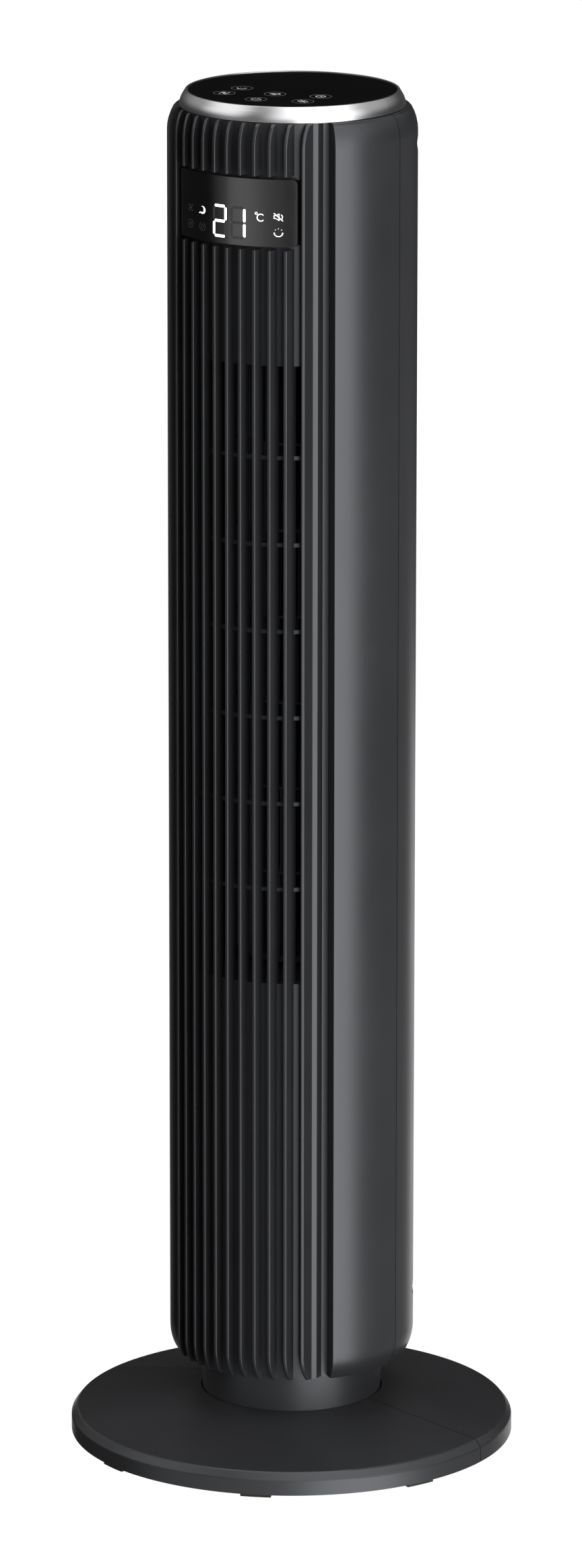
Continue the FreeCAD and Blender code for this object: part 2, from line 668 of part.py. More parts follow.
def trim_ring():
    """Metal ring round the touch panel: bulged slope, flat lip, shadow gap under its foot."""
    bore = PANEL_RADIUS + 0.15
    foot = SHOULDER_TOP + RING_GROOVE
    seat_radius = RING_FOOT_RADIUS - 2.0
    return turned([
        (seat_radius, SHOULDER_TOP),
        (seat_radius, foot),
        (RING_FOOT_RADIUS, foot, 0.2),
        (RING_BULGE[0], SHOULDER_TOP + RING_BULGE[1], RING_BULGE_ROUND),
        (RING_TOP_RADIUS, OVERALL_HEIGHT, RING_EDGE_ROUND),
        (bore, OVERALL_HEIGHT, 0.1),
        (bore, SHOULDER_TOP),
    ])


def touch_panel():
    return turned([
        (0, PANEL_TOP - PANEL_THICKNESS),
        (PANEL_RADIUS, PANEL_TOP - PANEL_THICKNESS),
        (PANEL_RADIUS, PANEL_TOP, 0.35),
        (0, PANEL_TOP),
    ])


def top_deck():
    """Tray under the touch panel, held by hooks below the casing's top flange."""
    flange_low = SHOULDER_TOP - TOWER_FLANGE
    low, high = DECK_Z
    rim = tube(PANEL_RADIUS, PANEL_RADIUS - 2.2, low, PANEL_TOP - PANEL_THICKNESS)
    pieces = [rim, cylinder(PANEL_RADIUS, low, high)]
    for phi in HOOK_PHI:
        pieces.append(sector(62.5, 64.8, phi - 5, phi + 5, (flange_low - 6, high)))
        pieces.append(sector(64.0, 66.9, phi - 5, phi + 5, (flange_low - 3, flange_low - 0.3)))
    for phi in BOARD_POST_PHI:
        place = polar(BOARD_POST_RADIUS, phi)
        pieces.append(cylinder(3.0, low, TOUCH_BOARD_Z[0], place.x, place.y))
    shape = fused(pieces)
    cable_hole = block((-12, 12), (18, 42), (low - PAST, high + PAST))
    shape = shape.cut(cable_hole)
    for phi in BOARD_POST_PHI:
        place = polar(BOARD_POST_RADIUS, phi)
        shape = shape.cut(cylinder(SMALL_SHANK, low - PAST, TOUCH_BOARD_Z[0] + PAST, place.x, place.y))
    return shape


def touch_board():
    low, high = TOUCH_BOARD_Z
    shape = cylinder(62, low, high)
    for phi in BOARD_POST_PHI:
        place = polar(BOARD_POST_RADIUS, phi)
        shape = shape.cut(cylinder(1.1, low - PAST, high + PAST, place.x, place.y))
    return shape


def touch_board_screws():
    up = Vector(0, 0, 1)
    return [small_screw(polar(BOARD_POST_RADIUS, phi, TOUCH_BOARD_Z[1]), up) for phi in BOARD_POST_PHI]


def touch_pads():
    """Conductive foam rings that couple each key on the panel to the board."""
    low, high = TOUCH_BOARD_Z[1], PANEL_TOP - PANEL_THICKNESS
    return group([tube(5.5, 3.6, low, high, x, y) for x, y in KEY_CENTRES])


# ------------------------------------------------------------------ air duct
def duct_point(radius, angle):
    """Point round the impeller's axis, the angle measured from +X."""
    turn = math.radians(angle)
    return Vector(radius * math.cos(turn), IMPELLER_Y + radius * math.sin(turn), 0)


def scroll_wall():
    """Rear guide that winds from behind the impeller to the left side of the outlet."""
    near = IMPELLER_RADIUS + DUCT_CLEARANCE
    middle_angle = (SCROLL_START + 180) / 2

    def side(offset):
        return [
            duct_point(near + offset, SCROLL_START),
            duct_point(near + SCROLL_GROWTH / 2 + offset, middle_angle),
            duct_point(near + SCROLL_GROWTH + offset, 180),
        ]

    inner, outer = side(0.0), side(DUCT_WALL)
    end_in = Vector(-DUCT_OUTLET_HALF_WIDTH, DUCT_OUTLET_Y, 0)
    end_out = Vector(-DUCT_OUTLET_HALF_WIDTH - DUCT_WALL, DUCT_OUTLET_Y, 0)
    edges = [
        Part.Arc(*inner).toShape(),
        Part.makeLine(inner[2], end_in),
        Part.makeLine(end_in, end_out),
        Part.makeLine(end_out, outer[2]),
        Part.Arc(*reversed(outer)).toShape(),
        Part.makeLine(outer[0], inner[0]),
    ]
    height = DUCT_Z[1] - DUCT_Z[0]
    wall = Part.Face(Part.Wire(edges)).translated(Vector(0, 0, DUCT_Z[0])).extrude(Vector(0, 0, height))
    lip = [
        duct_point(near, SCROLL_START + 2),
        duct_point(near + SCROLL_LIP, SCROLL_START - 6),
        duct_point(near + SCROLL_LIP, SCROLL_START - 8),
        duct_point(near, SCROLL_START - 2),
    ]
    return fused([wall, extruded([(p.x, p.y) for p in lip], DUCT_Z)])


def vortex_wall():
    """Tongue on the right of the outlet that holds the air's turning edge close to the impeller."""
    inside = DUCT_OUTLET_HALF_WIDTH
    outside = inside + DUCT_WALL
    points = [
        (outside, DUCT_OUTLET_Y),
        (inside, DUCT_OUTLET_Y),
        (inside, -14.0, 5.0),
        (54.0, 0.0, 6.0),
        (75.5, 9.0),
        (76.0, 6.8),
        (56.0, -3.2, 4.0),
        (outside, -16.0, 4.0),
    ]
    return extruded(points, DUCT_Z)


CABLE_X, CABLE_Y = 62.0, -26.0
LEAD_RADIUS = 2.0


def duct_plate(z_range, hole_radius):
    """End wall of the duct: fills the casing, set back behind the front recess."""
    past = (z_range[0] - PAST, z_range[1] + PAST)
    half = RECESS_HALF_ANGLE + 3.2
    shape = cylinder(TOWER_RADIUS - SKIN - 0.4, *z_range)
    shape = shape.cut(sector(RECESS_FLOOR_RADIUS - 2.8, FAR, -half, half, past))
    for span in both_sides(86.0, 94.0):
        shape = shape.cut(sector(TONGUE_RADIUS - 0.7, FAR, *span, past))
    shape = shape.cut(sector(SHELF_INNER_RADIUS - 0.2, FAR, 119, 241, past))
    shape = shape.cut(cylinder(hole_radius, *past, 0, IMPELLER_Y))
    return shape.cut(cylinder(LEAD_RADIUS * 2, *past, CABLE_X, CABLE_Y))


def lower_duct_plate():
    shape = duct_plate(LOWER_PLATE_Z, 16.0)
    for place in motor_mount_places():
        hole = cylinder(MOUNT_SHANK + 0.05, LOWER_PLATE_Z[0] - PAST, LOWER_PLATE_Z[1] - 0.5, place.x, place.y)
        shape = shape.cut(hole)
    return shape


TOP_SEAT_RADIUS = 13.0
TOP_BUSH_RADIUS = 7.5
TOP_SEAT_TOP = UPPER_PLATE_Z[1] + 9.0


def upper_duct_plate():
    shape = duct_plate(UPPER_PLATE_Z, TOP_SEAT_RADIUS)
    collar = tube(TOP_SEAT_RADIUS + 2.5, TOP_SEAT_RADIUS, UPPER_PLATE_Z[1] - 0.5, TOP_SEAT_TOP, 0, IMPELLER_Y)
    return fused([shape, collar])


def top_bearing_seat():
    """Rubber seat that lets the bush line itself up."""
    return tube(TOP_SEAT_RADIUS, TOP_BUSH_RADIUS, UPPER_PLATE_Z[0], TOP_SEAT_TOP, 0, IMPELLER_Y)


def top_bearing_bush():
    bore = SHAFT_RADIUS + RUNNING_CLEARANCE
    return tube(TOP_BUSH_RADIUS, bore, UPPER_PLATE_Z[0] + 0.5, TOP_SEAT_TOP + 0.5, 0, IMPELLER_Y)


# ------------------------------------------------------------------ impeller
SEGMENT_HEIGHT = RIB_PITCH
SEGMENT_RING = 1.6
BLADE_CHORD = 9.5
BLADE_BULGE = 2.3
BLADE_THICKNESS = 0.9
END_DISC = 2.0
GRUB_Z = 8.0                 # how far the grub screw lies below the lowest segment
GRUB_RADIUS = 1.5
IMPELLER_LOW = OUTLET_MID_Z - IMPELLER_SEGMENTS * SEGMENT_HEIGHT / 2
IMPELLER_HIGH = OUTLET_MID_Z + IMPELLER_SEGMENTS * SEGMENT_HEIGHT / 2


def blade_face(angle):
    """Thin curved blade section between the ring's inner and outer radius."""
    outer, inner = IMPELLER_RADIUS - 0.4, IMPELLER_RADIUS - BLADE_CHORD
    middle = (outer + inner) / 2
    half = BLADE_THICKNESS / 2

    def place(radius, across):
        turn = math.radians(angle)
        return Vector(radius * math.cos(turn) - across * math.sin(turn),
                      IMPELLER_Y + radius * math.sin(turn) + across * math.cos(turn), 0)

    ahead = [place(outer, half), place(middle, BLADE_BULGE + half), place(inner, half)]
    behind = [place(inner, -half), place(middle, BLADE_BULGE - half), place(outer, -half)]
    edges = [
        Part.Arc(*ahead).toShape(),
        Part.makeLine(ahead[2], behind[0]),
        Part.Arc(*behind).toShape(),
        Part.makeLine(behind[2], ahead[0]),
    ]
    return Part.Face(Part.Wire(edges))


def impeller_segment(index):
    """One ring with its blades, turned a little against the segment below it."""
    z_low = IMPELLER_LOW + index * SEGMENT_HEIGHT
    ring = tube(IMPELLER_RADIUS, IMPELLER_RADIUS - 11, z_low, z_low + SEGMENT_RING, 0, IMPELLER_Y)
    pitch = 360 / IMPELLER_BLADES
    stagger = index * pitch / IMPELLER_SEGMENTS
    rise = Vector(0, 0, SEGMENT_HEIGHT - SEGMENT_RING / 2)
    blades = []
    for i in range(IMPELLER_BLADES):
        face = blade_face(i * pitch + stagger)
        blades.append(face.translated(Vector(0, 0, z_low + SEGMENT_RING / 2)).extrude(rise))
    return fused([ring] + blades)


def impeller_segments():
    return group([impeller_segment(i) for i in range(IMPELLER_SEGMENTS)])


def impeller_hub_disc():
    """Closed disc under the lowest segment, with the boss that clamps on the motor shaft."""
    disc = cylinder(IMPELLER_RADIUS, IMPELLER_LOW - END_DISC, IMPELLER_LOW, 0, IMPELLER_Y)
    boss = cylinder(11.0, IMPELLER_LOW - 13, IMPELLER_LOW - 1, 0, IMPELLER_Y)
    shape = fused([disc, boss])
    shape = shape.cut(cylinder(SHAFT_RADIUS, IMPELLER_LOW - 14, IMPELLER_LOW - 1, 0, IMPELLER_Y))
    return shape.cut(grub_cylinder(0, 12))


def grub_cylinder(start_x, length):
    """Cylinder along the hub's tapped hole."""
    start = Vector(start_x, IMPELLER_Y, IMPELLER_LOW - GRUB_Z)
    return Part.makeCylinder(GRUB_RADIUS, length, start, Vector(1, 0, 0))


def hub_grub_screw():
    return grub_cylinder(SHAFT_RADIUS, 6.5)


def impeller_end_disc():
    high = IMPELLER_HIGH + END_DISC
    return tube(IMPELLER_RADIUS, SHAFT_RADIUS, IMPELLER_HIGH, high, 0, IMPELLER_Y)


def stub_shaft():
    """Steel pin in the upper end disc, running in the top bush."""
    pin = cylinder(SHAFT_RADIUS, IMPELLER_HIGH - 3, TOP_SEAT_TOP, 0, IMPELLER_Y)
    collar = cylinder(7.0, IMPELLER_HIGH - 3, IMPELLER_HIGH, 0, IMPELLER_Y)
    return fused([pin, collar])


# ------------------------------------------------------------------ motor
MOTOR_CAP = 2.0
BEARING_OUTER = 11.0
BEARING_WIDTH = 7.0
BRACKET_Z = (MOTOR_Z[1], MOTOR_Z[1] + 2.5)
MOTOR_MOUNT_RADIUS = 39.0
MOTOR_MOUNT_PHI = (0.0, 120.0, 240.0)
STATOR_Z = (MOTOR_Z[0] + 12.0, MOTOR_Z[1] - 12.0)
STATOR_TEETH = 9
TOOTH_HALF_WIDTH = 3.0
COIL_OVERHANG = 1.8
ROTOR_RADIUS = 18.8
VENT_COUNT = 8


def motor_cylinder(radius, z_low, z_high):
    return cylinder(radius, z_low, z_high, 0, IMPELLER_Y)


def round_motor(shape, phi):
    """Copy of a shape made at the front of the motor, turned round the motor's axis."""
    return shape.rotated(Vector(0, 0, 0), Vector(0, 0, 1), phi).translated(Vector(0, IMPELLER_Y, 0))


def motor_mount_places():
    return [polar(MOTOR_MOUNT_RADIUS, phi) + Vector(0, IMPELLER_Y, 0) for phi in MOTOR_MOUNT_PHI]


def motor_can():
    """Round steel housing with a bearing seat in each end and vents in its lower end."""
    low, high = MOTOR_Z
    lower_seat = (low + MOTOR_CAP, low + MOTOR_CAP + BEARING_WIDTH)
    upper_seat = (high - MOTOR_CAP - BEARING_WIDTH, high - MOTOR_CAP)
    shape = motor_cylinder(MOTOR_RADIUS, low, high)
    shape = shape.cut(motor_cylinder(MOTOR_RADIUS - MOTOR_CAP, lower_seat[0], upper_seat[1]))
    shape = shape.fuse(motor_cylinder(BEARING_OUTER + 2, low, lower_seat[1]))
    shape = shape.fuse(motor_cylinder(BEARING_OUTER + 2, upper_seat[0], high))
    shape = shape.cut(motor_cylinder(BEARING_OUTER, lower_seat[0], lower_seat[1] + PAST))
    shape = shape.cut(motor_cylinder(BEARING_OUTER, upper_seat[0] - PAST, upper_seat[1]))
    shape = shape.cut(motor_cylinder(SHAFT_RADIUS + 1, low - PAST, high + PAST))
    vent = cylinder(4.0, low - PAST, low + MOTOR_CAP + 0.5, 0, -23)
    for i in range(VENT_COUNT):
        shape = shape.cut(round_motor(vent, i * 360 / VENT_COUNT))
    return shape.removeSplitter()


def motor_bearings():
    low, high = MOTOR_Z[0] + MOTOR_CAP, MOTOR_Z[1] - MOTOR_CAP
    bore = SHAFT_RADIUS + RUNNING_CLEARANCE
    return group([
        tube(BEARING_OUTER, bore, low, low + BEARING_WIDTH, 0, IMPELLER_Y),
        tube(BEARING_OUTER, bore, high - BEARING_WIDTH, high, 0, IMPELLER_Y),
    ])


def motor_stator():
    """Laminated ring whose teeth carry the coils."""
    outer = MOTOR_RADIUS - MOTOR_CAP
    pieces = [tube(outer, outer - 3, *STATOR_Z, 0, IMPELLER_Y)]
    tooth = block((-TOOTH_HALF_WIDTH, TOOTH_HALF_WIDTH), (-30, -20.5), STATOR_Z)
    shoe = sector(19.6, 21.2, -16, 16, STATOR_Z)
    for i in range(STATOR_TEETH):
        phi = i * 360 / STATOR_TEETH
        pieces += [round_motor(tooth, phi), round_motor(shoe, phi)]
    return fused(pieces)


def stator_coils():
    coil = block((-5.2, 5.2), (-28.4, -22.0), (STATOR_Z[0] - COIL_OVERHANG, STATOR_Z[1] + COIL_OVERHANG))
    coil = coil.cut(block((-TOOTH_HALF_WIDTH, TOOTH_HALF_WIDTH), (-40, -10), STATOR_Z))
    return group([round_motor(coil, i * 360 / STATOR_TEETH) for i in range(STATOR_TEETH)])


def motor_rotor():
    return tube(ROTOR_RADIUS, SHAFT_RADIUS, *STATOR_Z, 0, IMPELLER_Y)


def motor_shaft():
    return motor_cylinder(SHAFT_RADIUS, MOTOR_Z[0] - 2, IMPELLER_LOW - 1)


def motor_bracket():
    """Three-armed plate on the motor's upper end."""
    past = (BRACKET_Z[0] - PAST, BRACKET_Z[1] + PAST)
    pieces = [motor_cylinder(14.0, *BRACKET_Z)]
    arm = block((-6, 6), (-MOTOR_MOUNT_RADIUS, 0), BRACKET_Z)
    for phi, place in zip(MOTOR_MOUNT_PHI, motor_mount_places()):
        pieces += [round_motor(arm, phi), cylinder(7.0, *BRACKET_Z, place.x, place.y)]
    shape = fused(pieces).cut(motor_cylinder(8.0, *past))
    for place in motor_mount_places():
        shape = shape.cut(cylinder(MOUNT_SHANK + 0.05, *past, place.x, place.y))
    return shape


def motor_mounts():
    """Waisted rubber bushes between the motor's bracket and the duct plate."""
    bore, rim, waist = MOUNT_SHANK + 0.05, 6.0, 4.6
    low, high = BRACKET_Z[1], LOWER_PLATE_Z[0]
    bush = turned([(bore, low), (rim, low), (waist, (low + high) / 2, 2.0), (rim, high), (bore, high)])
    return group([bush.translated(place) for place in motor_mount_places()])


def motor_mount_screws():
    screws = []
    for place in motor_mount_places():
        tip = Vector(place.x, place.y, LOWER_PLATE_Z[1] - 1.0)
        seat = Vector(place.x, place.y, BRACKET_Z[0])
        screws.append(pan_head_screw(tip, seat, Vector(0, 0, -1), MOUNT_SHANK, 3.8, 2.4))
    return group(screws)


# ------------------------------------------------------------------ electronics
def board_screw_places():
    return [(x, z) for x in (-36.0, 36.0) for z in (BOARD_Z[0] + 8, BOARD_Z[1] - 8)]


CONNECTOR_Z = (BOARD_Z[0] + 108.0, BOARD_Z[0] + 116.0)
MOTOR_LEAD_X = -22.0
CABLE_START_X = 28.0


def main_board():
    shape = block((-BOARD_HALF_WIDTH, BOARD_HALF_WIDTH), (BOARD_Y, BOARD_Y + BOARD_THICKNESS), BOARD_Z)
    for x, z in board_screw_places():
        shape = shape.cut(cylinder_y(1.5, BOARD_Y - PAST, BOARD_Y + BOARD_THICKNESS + PAST, x, z))
    return shape


def board_block(x_range, depth, z_range):
    """Component on the front of the main board, its height measured from the board's lower edge."""
    return block(x_range, (BOARD_Y - depth, BOARD_Y), (BOARD_Z[0] + z_range[0], BOARD_Z[0] + z_range[1]))


def board_can(radius, depth, x, rise):
    return cylinder_y(radius, BOARD_Y - depth, BOARD_Y, x, BOARD_Z[0] + rise)


def board_connector(x, half_width):
    return block((x - half_width, x + half_width), (BOARD_Y - 8, BOARD_Y), CONNECTOR_Z)


def board_parts():
    """What stands on the main board's front."""
    transformer = board_block((-30, -6), 19, (18, 44))
    relay = board_block((6, 25), 15, (16, 32))
    fuse = board_block((-38, -22), 9, (62, 74))
    processor = board_block((-8, 8), 2, (82, 98))
    capacitors = [board_can(6.5, 17, 12, 50), board_can(5.0, 13, 28, 52)]
    buzzer = board_can(4.5, 8, -8, 66)
    connectors = [board_connector(MOTOR_LEAD_X, 6), board_connector(CABLE_START_X, 5)]
    return group([transformer, relay, fuse, processor, buzzer] + capacitors + connectors)


def main_board_screws():
    return [medium_screw(Vector(x, BOARD_Y, z), Vector(0, -1, 0)) for x, z in board_screw_places()]


def lead(points):
    """Round lead along straight runs joined by tangent arcs."""
    points = [Vector(*point) for point in points]
    path = []
    start = points[0]
    for i in range(1, len(points) - 1):
        before, after = points[i - 1] - points[i], points[i + 1] - points[i]
        reach = 0.45 * min(before.Length, after.Length)
        turn = math.pi - before.getAngle(after)
        bend = reach / math.tan(turn / 2)
        before.normalize()
        after.normalize()
        first, last = points[i] + before * reach, points[i] + after * reach
        inward = (before + after).normalize()
        middle = points[i] + inward * (bend / math.cos(turn / 2) - bend)
        path += [Part.makeLine(start, first), Part.Arc(first, middle, last).toShape()]
        start = last
    path.append(Part.makeLine(start, points[-1]))
    section = Part.Wire(Part.makeCircle(LEAD_RADIUS, points[0], points[1] - points[0]))
    return Part.Wire(path).makePipeShell([section], True, True)


def motor_lead():
    x, y, z = MOTOR_LEAD_X, BOARD_Y - 4, CONNECTOR_Z[1]
    return lead([(-12, 24, MOTOR_Z[0]), (-12, 24, MOTOR_Z[0] - 12), (x, y, z + 14), (x, y, z)])


def display_cable():
    """Lead from the main board up the right side of the duct to the display board."""
    x, y, z = CABLE_START_X, BOARD_Y - 4, CONNECTOR_Z[1]
    end_x, end_y, end_z = 30, DISPLAY_BOARD_Y[1], LENS_Z[0] + 8
    return lead([
        (x, y, z),
        (x, y, z + 12),
        (52, 8, 262),
        (CABLE_X, CABLE_Y, 300),
        (CABLE_X, CABLE_Y, 790),
        (44, -36, end_z),
        (end_x, end_y + 10, end_z),
        (end_x, end_y, end_z),
    ])


# ------------------------------------------------------------------ turntable and oscillation drive
def turntable():
    """Plate that carries the tower: hub in the neck's bush, skirt on the casing's foot flange."""
    low, high = TURNTABLE_Z
    foot = TOWER_BOTTOM + TOWER_FLANGE
    pieces = [cylinder(67.0, low, high), cylinder(HUB_RADIUS, RETAINER_Z[1], high),
              tube(67.0, 64.2, foot, low + 1)]
    for phi in TURNTABLE_SCREW_PHI:
        place = polar(TURNTABLE_SCREW_RADIUS, phi)
        pieces.append(cylinder(3.6, foot, high, place.x, place.y))
    peg = polar(STOP_RADIUS, 0)
    pieces.append(cylinder(STOP_PEG_RADIUS, NECK_ROOF_Z[0] + 1, low + 1, peg.x, peg.y))
    shape = fused(pieces)
    shape = shape.cut(cylinder(HUB_BORE, RETAINER_Z[1] - 1, high + 1))
    shape = shape.cut(cylinder(PINION_SHAFT_RADIUS + 1.5, low - 1, high + 1, 0, PINION_Y))
    for phi in TURNTABLE_SCREW_PHI:
        place = polar(TURNTABLE_SCREW_RADIUS, phi)
        shape = shape.cut(cylinder(MEDIUM_SHANK, foot - 1, foot + 12, place.x, place.y))
    for phi in RETAINER_SCREW_PHI:
        place = polar(RETAINER_SCREW_RADIUS, phi)
        hole_z = (RETAINER_Z[1] - PAST, RETAINER_Z[1] + 8)
        shape = shape.cut(cylinder(RETAINER_SHANK + 0.05, *hole_z, place.x, place.y))
    for x in DRIVE_SCREW_X:
        shape = shape.cut(cylinder(MEDIUM_SHANK, low - 1, high + 1, x, PINION_Y))
    return shape


def turntable_screws():
    seat = TOWER_BOTTOM + TURNTABLE_SCREW_RECESS
    return [medium_screw(polar(TURNTABLE_SCREW_RADIUS, phi, seat), Vector(0, 0, -1))
            for phi in TURNTABLE_SCREW_PHI]


def retaining_washer():
    """Washer under the hub that keeps the tower on its neck."""
    shape = tube(21.0, HUB_BORE, *RETAINER_Z)
    for phi in RETAINER_SCREW_PHI:
        place = polar(RETAINER_SCREW_RADIUS, phi)
        hole = cylinder(RETAINER_SHANK + 0.15, RETAINER_Z[0] - PAST, RETAINER_Z[1] + PAST, place.x, place.y)
        shape = shape.cut(hole)
    return shape


def retaining_screws():
    screws = []
    for phi in RETAINER_SCREW_PHI:
        tip = polar(RETAINER_SCREW_RADIUS, phi, RETAINER_Z[1] + 7)
        seat = polar(RETAINER_SCREW_RADIUS, phi, RETAINER_Z[0])
        screws.append(pan_head_screw(tip, seat, Vector(0, 0, -1), RETAINER_SHANK, 2.1, 1.6))
    return group(screws)


def tooth_half_angle(teeth, radius):
    """Half the angle that a tooth takes up at a radius, from its involute flanks."""
    pitch_radius = teeth * GEAR_MODULE / 2
    base_radius = pitch_radius * math.cos(math.radians(PRESSURE_ANGLE))

    def involute(angle):
        return math.tan(angle) - angle

    at_pitch = (math.pi * GEAR_MODULE / 2 - TOOTH_THINNING) / (2 * pitch_radius)
    angle = math.acos(min(1.0, base_radius / radius))
    return at_pitch + involute(math.radians(PRESSURE_ANGLE)) - involute(angle)


def gear(teeth, z_range):
    """Spur gear blank with involute teeth, one tooth centred on +X."""
    pitch_radius = teeth * GEAR_MODULE / 2
    tip, root = pitch_radius + GEAR_MODULE, pitch_radius - 1.25 * GEAR_MODULE
    start = max(root, pitch_radius * math.cos(math.radians(PRESSURE_ANGLE)))
    radii = (start, (start + tip) / 2, tip)
    pitch_angle = 2 * math.pi / teeth

    def at(radius, angle):
        return Vector(radius * math.cos(angle), radius * math.sin(angle), z_range[0])

    edges = []
    for i in range(teeth):
        centre = i * pitch_angle
        rising = [at(r, centre - tooth_half_angle(teeth, r)) for r in radii]
        falling = [at(r, centre + tooth_half_angle(teeth, r)) for r in reversed(radii)]
        root_angle = tooth_half_angle(teeth, start)
        foot, toe = at(root, centre - root_angle), at(root, centre + root_angle)
        if root < start:
            edges.append(Part.makeLine(foot, rising[0]))
        edges.append(Part.Arc(*rising).toShape())
        edges.append(Part.Arc(rising[2], at(tip, centre), falling[0]).toShape())
        edges.append(Part.Arc(*falling).toShape())
        if root < start:
            edges.append(Part.makeLine(falling[2], toe))
        next_foot = at(root, centre + pitch_angle - root_angle)
        edges.append(Part.Arc(toe, at(root, centre + pitch_angle / 2), next_foot).toShape())
    return Part.Face(Part.Wire(edges)).extrude(Vector(0, 0, z_range[1] - z_range[0]))


def fixed_gear():
    """Gear screwed to the neck's roof; the pinion rolls round it."""
    shape = gear(SUN_TEETH, GEAR_Z).rotated(Vector(0, 0, 0), Vector(0, 0, 1), 90)
    shape = shape.cut(cylinder(SUN_BORE, GEAR_Z[0] - 1, GEAR_Z[1] + 1))
    for phi in SUN_SCREW_PHI:
        place = polar(SUN_SCREW_RADIUS, phi)
        shape = shape.cut(cylinder(SHELL_SHANK + 0.1, GEAR_Z[0] - PAST, GEAR_Z[1] + PAST, place.x, place.y))
        shape = shape.cut(cylinder(2.7, GEAR_Z[1] - SUN_SCREW_RECESS, GEAR_Z[1] + PAST, place.x, place.y))
    return shape


def fixed_gear_screws():
    screws = []
    for phi in SUN_SCREW_PHI:
        tip = polar(SUN_SCREW_RADIUS, phi, NECK_ROOF_Z[0] + 0.5)
        seat = polar(SUN_SCREW_RADIUS, phi, GEAR_Z[1] - SUN_SCREW_RECESS)
        screws.append(pan_head_screw(tip, seat, Vector(0, 0, 1), SHELL_SHANK, 2.4, 1.8))
    return group(screws)


def drive_pinion():
    shape = gear(PINION_TEETH, (GEAR_Z[0] + 0.5, GEAR_Z[1])).translated(Vector(0, PINION_Y, 0))
    return shape.cut(cylinder(PINION_SHAFT_RADIUS, GEAR_Z[0] - 1, GEAR_Z[1] + 1, 0, PINION_Y))


def drive_shaft():
    """Output shaft of the oscillation motor."""
    return cylinder(PINION_SHAFT_RADIUS, GEAR_Z[0] + 0.5, TURNTABLE_Z[1] + 9, 0, PINION_Y)


def oscillation_motor():
    """Flat geared motor with two ears, standing on the turntable."""
    low = TURNTABLE_Z[1]
    can = cylinder(DRIVE_RADIUS, low, low + DRIVE_HEIGHT, 0, PINION_Y)
    ears = block((DRIVE_SCREW_X[0] - 3.5, DRIVE_SCREW_X[1] + 3.5), (PINION_Y - 3.5, PINION_Y + 3.5),
                 (low, low + DRIVE_EAR))
    shape = fused([can, ears])
    shape = shape.cut(cylinder(PINION_SHAFT_RADIUS + RUNNING_CLEARANCE, low - 1, low + 9.5, 0, PINION_Y))
    for x in DRIVE_SCREW_X:
        shape = shape.cut(cylinder(1.4, low - 1, low + 3, x, PINION_Y))
    return shape


def oscillation_motor_screws():
    seat = TURNTABLE_Z[1] + DRIVE_EAR
    return [medium_screw(Vector(x, PINION_Y, seat), Vector(0, 0, 1)) for x in DRIVE_SCREW_X]


# ------------------------------------------------------------------ thrust bearing
def race(z_range):
    return tube(BEARING_RADIUS + 4.5, BEARING_RADIUS - 4.5, *z_range)


BALL_Z = (LOWER_RACE_Z[1] + UPPER_RACE_Z[0]) / 2


def ball_centres():
    return [polar(BEARING_RADIUS, i * 360 / BALL_COUNT, BALL_Z) for i in range(BALL_COUNT)]


def bearing_cage():
    """Flat ring that keeps the balls apart and rolls round with them."""
    shape = tube(BEARING_RADIUS + 4.2, BEARING_RADIUS - 4.2, BALL_Z - 0.8, BALL_Z + 0.8)
    holes = [cylinder(BALL_RADIUS + 0.06, BALL_Z - 2, BALL_Z + 2, p.x, p.y) for p in ball_centres()]
    return shape.cut(group(holes))


def bearing_balls():
    return group([Part.makeSphere(BALL_RADIUS, centre) for centre in ball_centres()])


# ------------------------------------------------------------------ neck
def neck_column():
    """Fixed column: roof with the bearing and gear seats, flange and threaded spigot for the lock nut."""
    inside = NECK_RADIUS - NECK_WALL
    flange_low, flange_high = NECK_FLANGE_Z
    roof_low, roof_high = NECK_ROOF_Z
    column = turned([
        (inside, flange_low),
        (NECK_FLANGE_RADIUS, flange_low),
        (NECK_FLANGE_RADIUS, flange_high),
        (NECK_RADIUS, flange_high),
        (NECK_RADIUS, roof_high, 1.0),
        (inside, roof_high),
    ])
    roof = tube(NECK_RADIUS - 1, BUSH_RADIUS, roof_low, roof_high)
    floor = tube(NECK_RADIUS - 1, SPIGOT_RADIUS - SPIGOT_WALL, flange_low, flange_high)
    spigot = tube(SPIGOT_RADIUS, SPIGOT_RADIUS - SPIGOT_WALL, LOCK_NUT_Z[0], flange_low + 1)
    shape = fused([column, roof, floor, spigot])
    reach = SWING_HALF_ANGLE + math.degrees(STOP_PEG_RADIUS / STOP_RADIUS) + STOP_PLAY_ANGLE
    slot_half_width = STOP_PEG_RADIUS + 0.4
    shape = shape.cut(sector(STOP_RADIUS - slot_half_width, STOP_RADIUS + slot_half_width, -reach, reach,
                             (roof_low - PAST, roof_high + PAST)))
    for phi in SUN_SCREW_PHI:
        place = polar(SUN_SCREW_RADIUS, phi)
        shape = shape.cut(cylinder(SHELL_SHANK + 0.05, roof_low - PAST, roof_high + PAST, place.x, place.y))
    return shape


def hub_bush():
    """Flanged plain bush in the neck's roof for the turntable's hub."""
    inner = HUB_RADIUS + RUNNING_CLEARANCE
    shape = tube(BUSH_RADIUS, inner, RETAINER_Z[1] + 0.2, NECK_ROOF_Z[1])
    flange = tube(20.0, inner, RETAINER_Z[1] + 0.2, NECK_ROOF_Z[0])
    return fused([shape, flange])


def lock_nut():
    """Hand nut under the base, with grip lugs."""
    shape = tube(56.0, SPIGOT_RADIUS + 0.1, *LOCK_NUT_Z)
    lugs = [shape]
    for i in range(12):
        lugs.append(sector(55.0, 60.0, i * 30 - 5, i * 30 + 5, LOCK_NUT_Z))
    return fused(lugs)


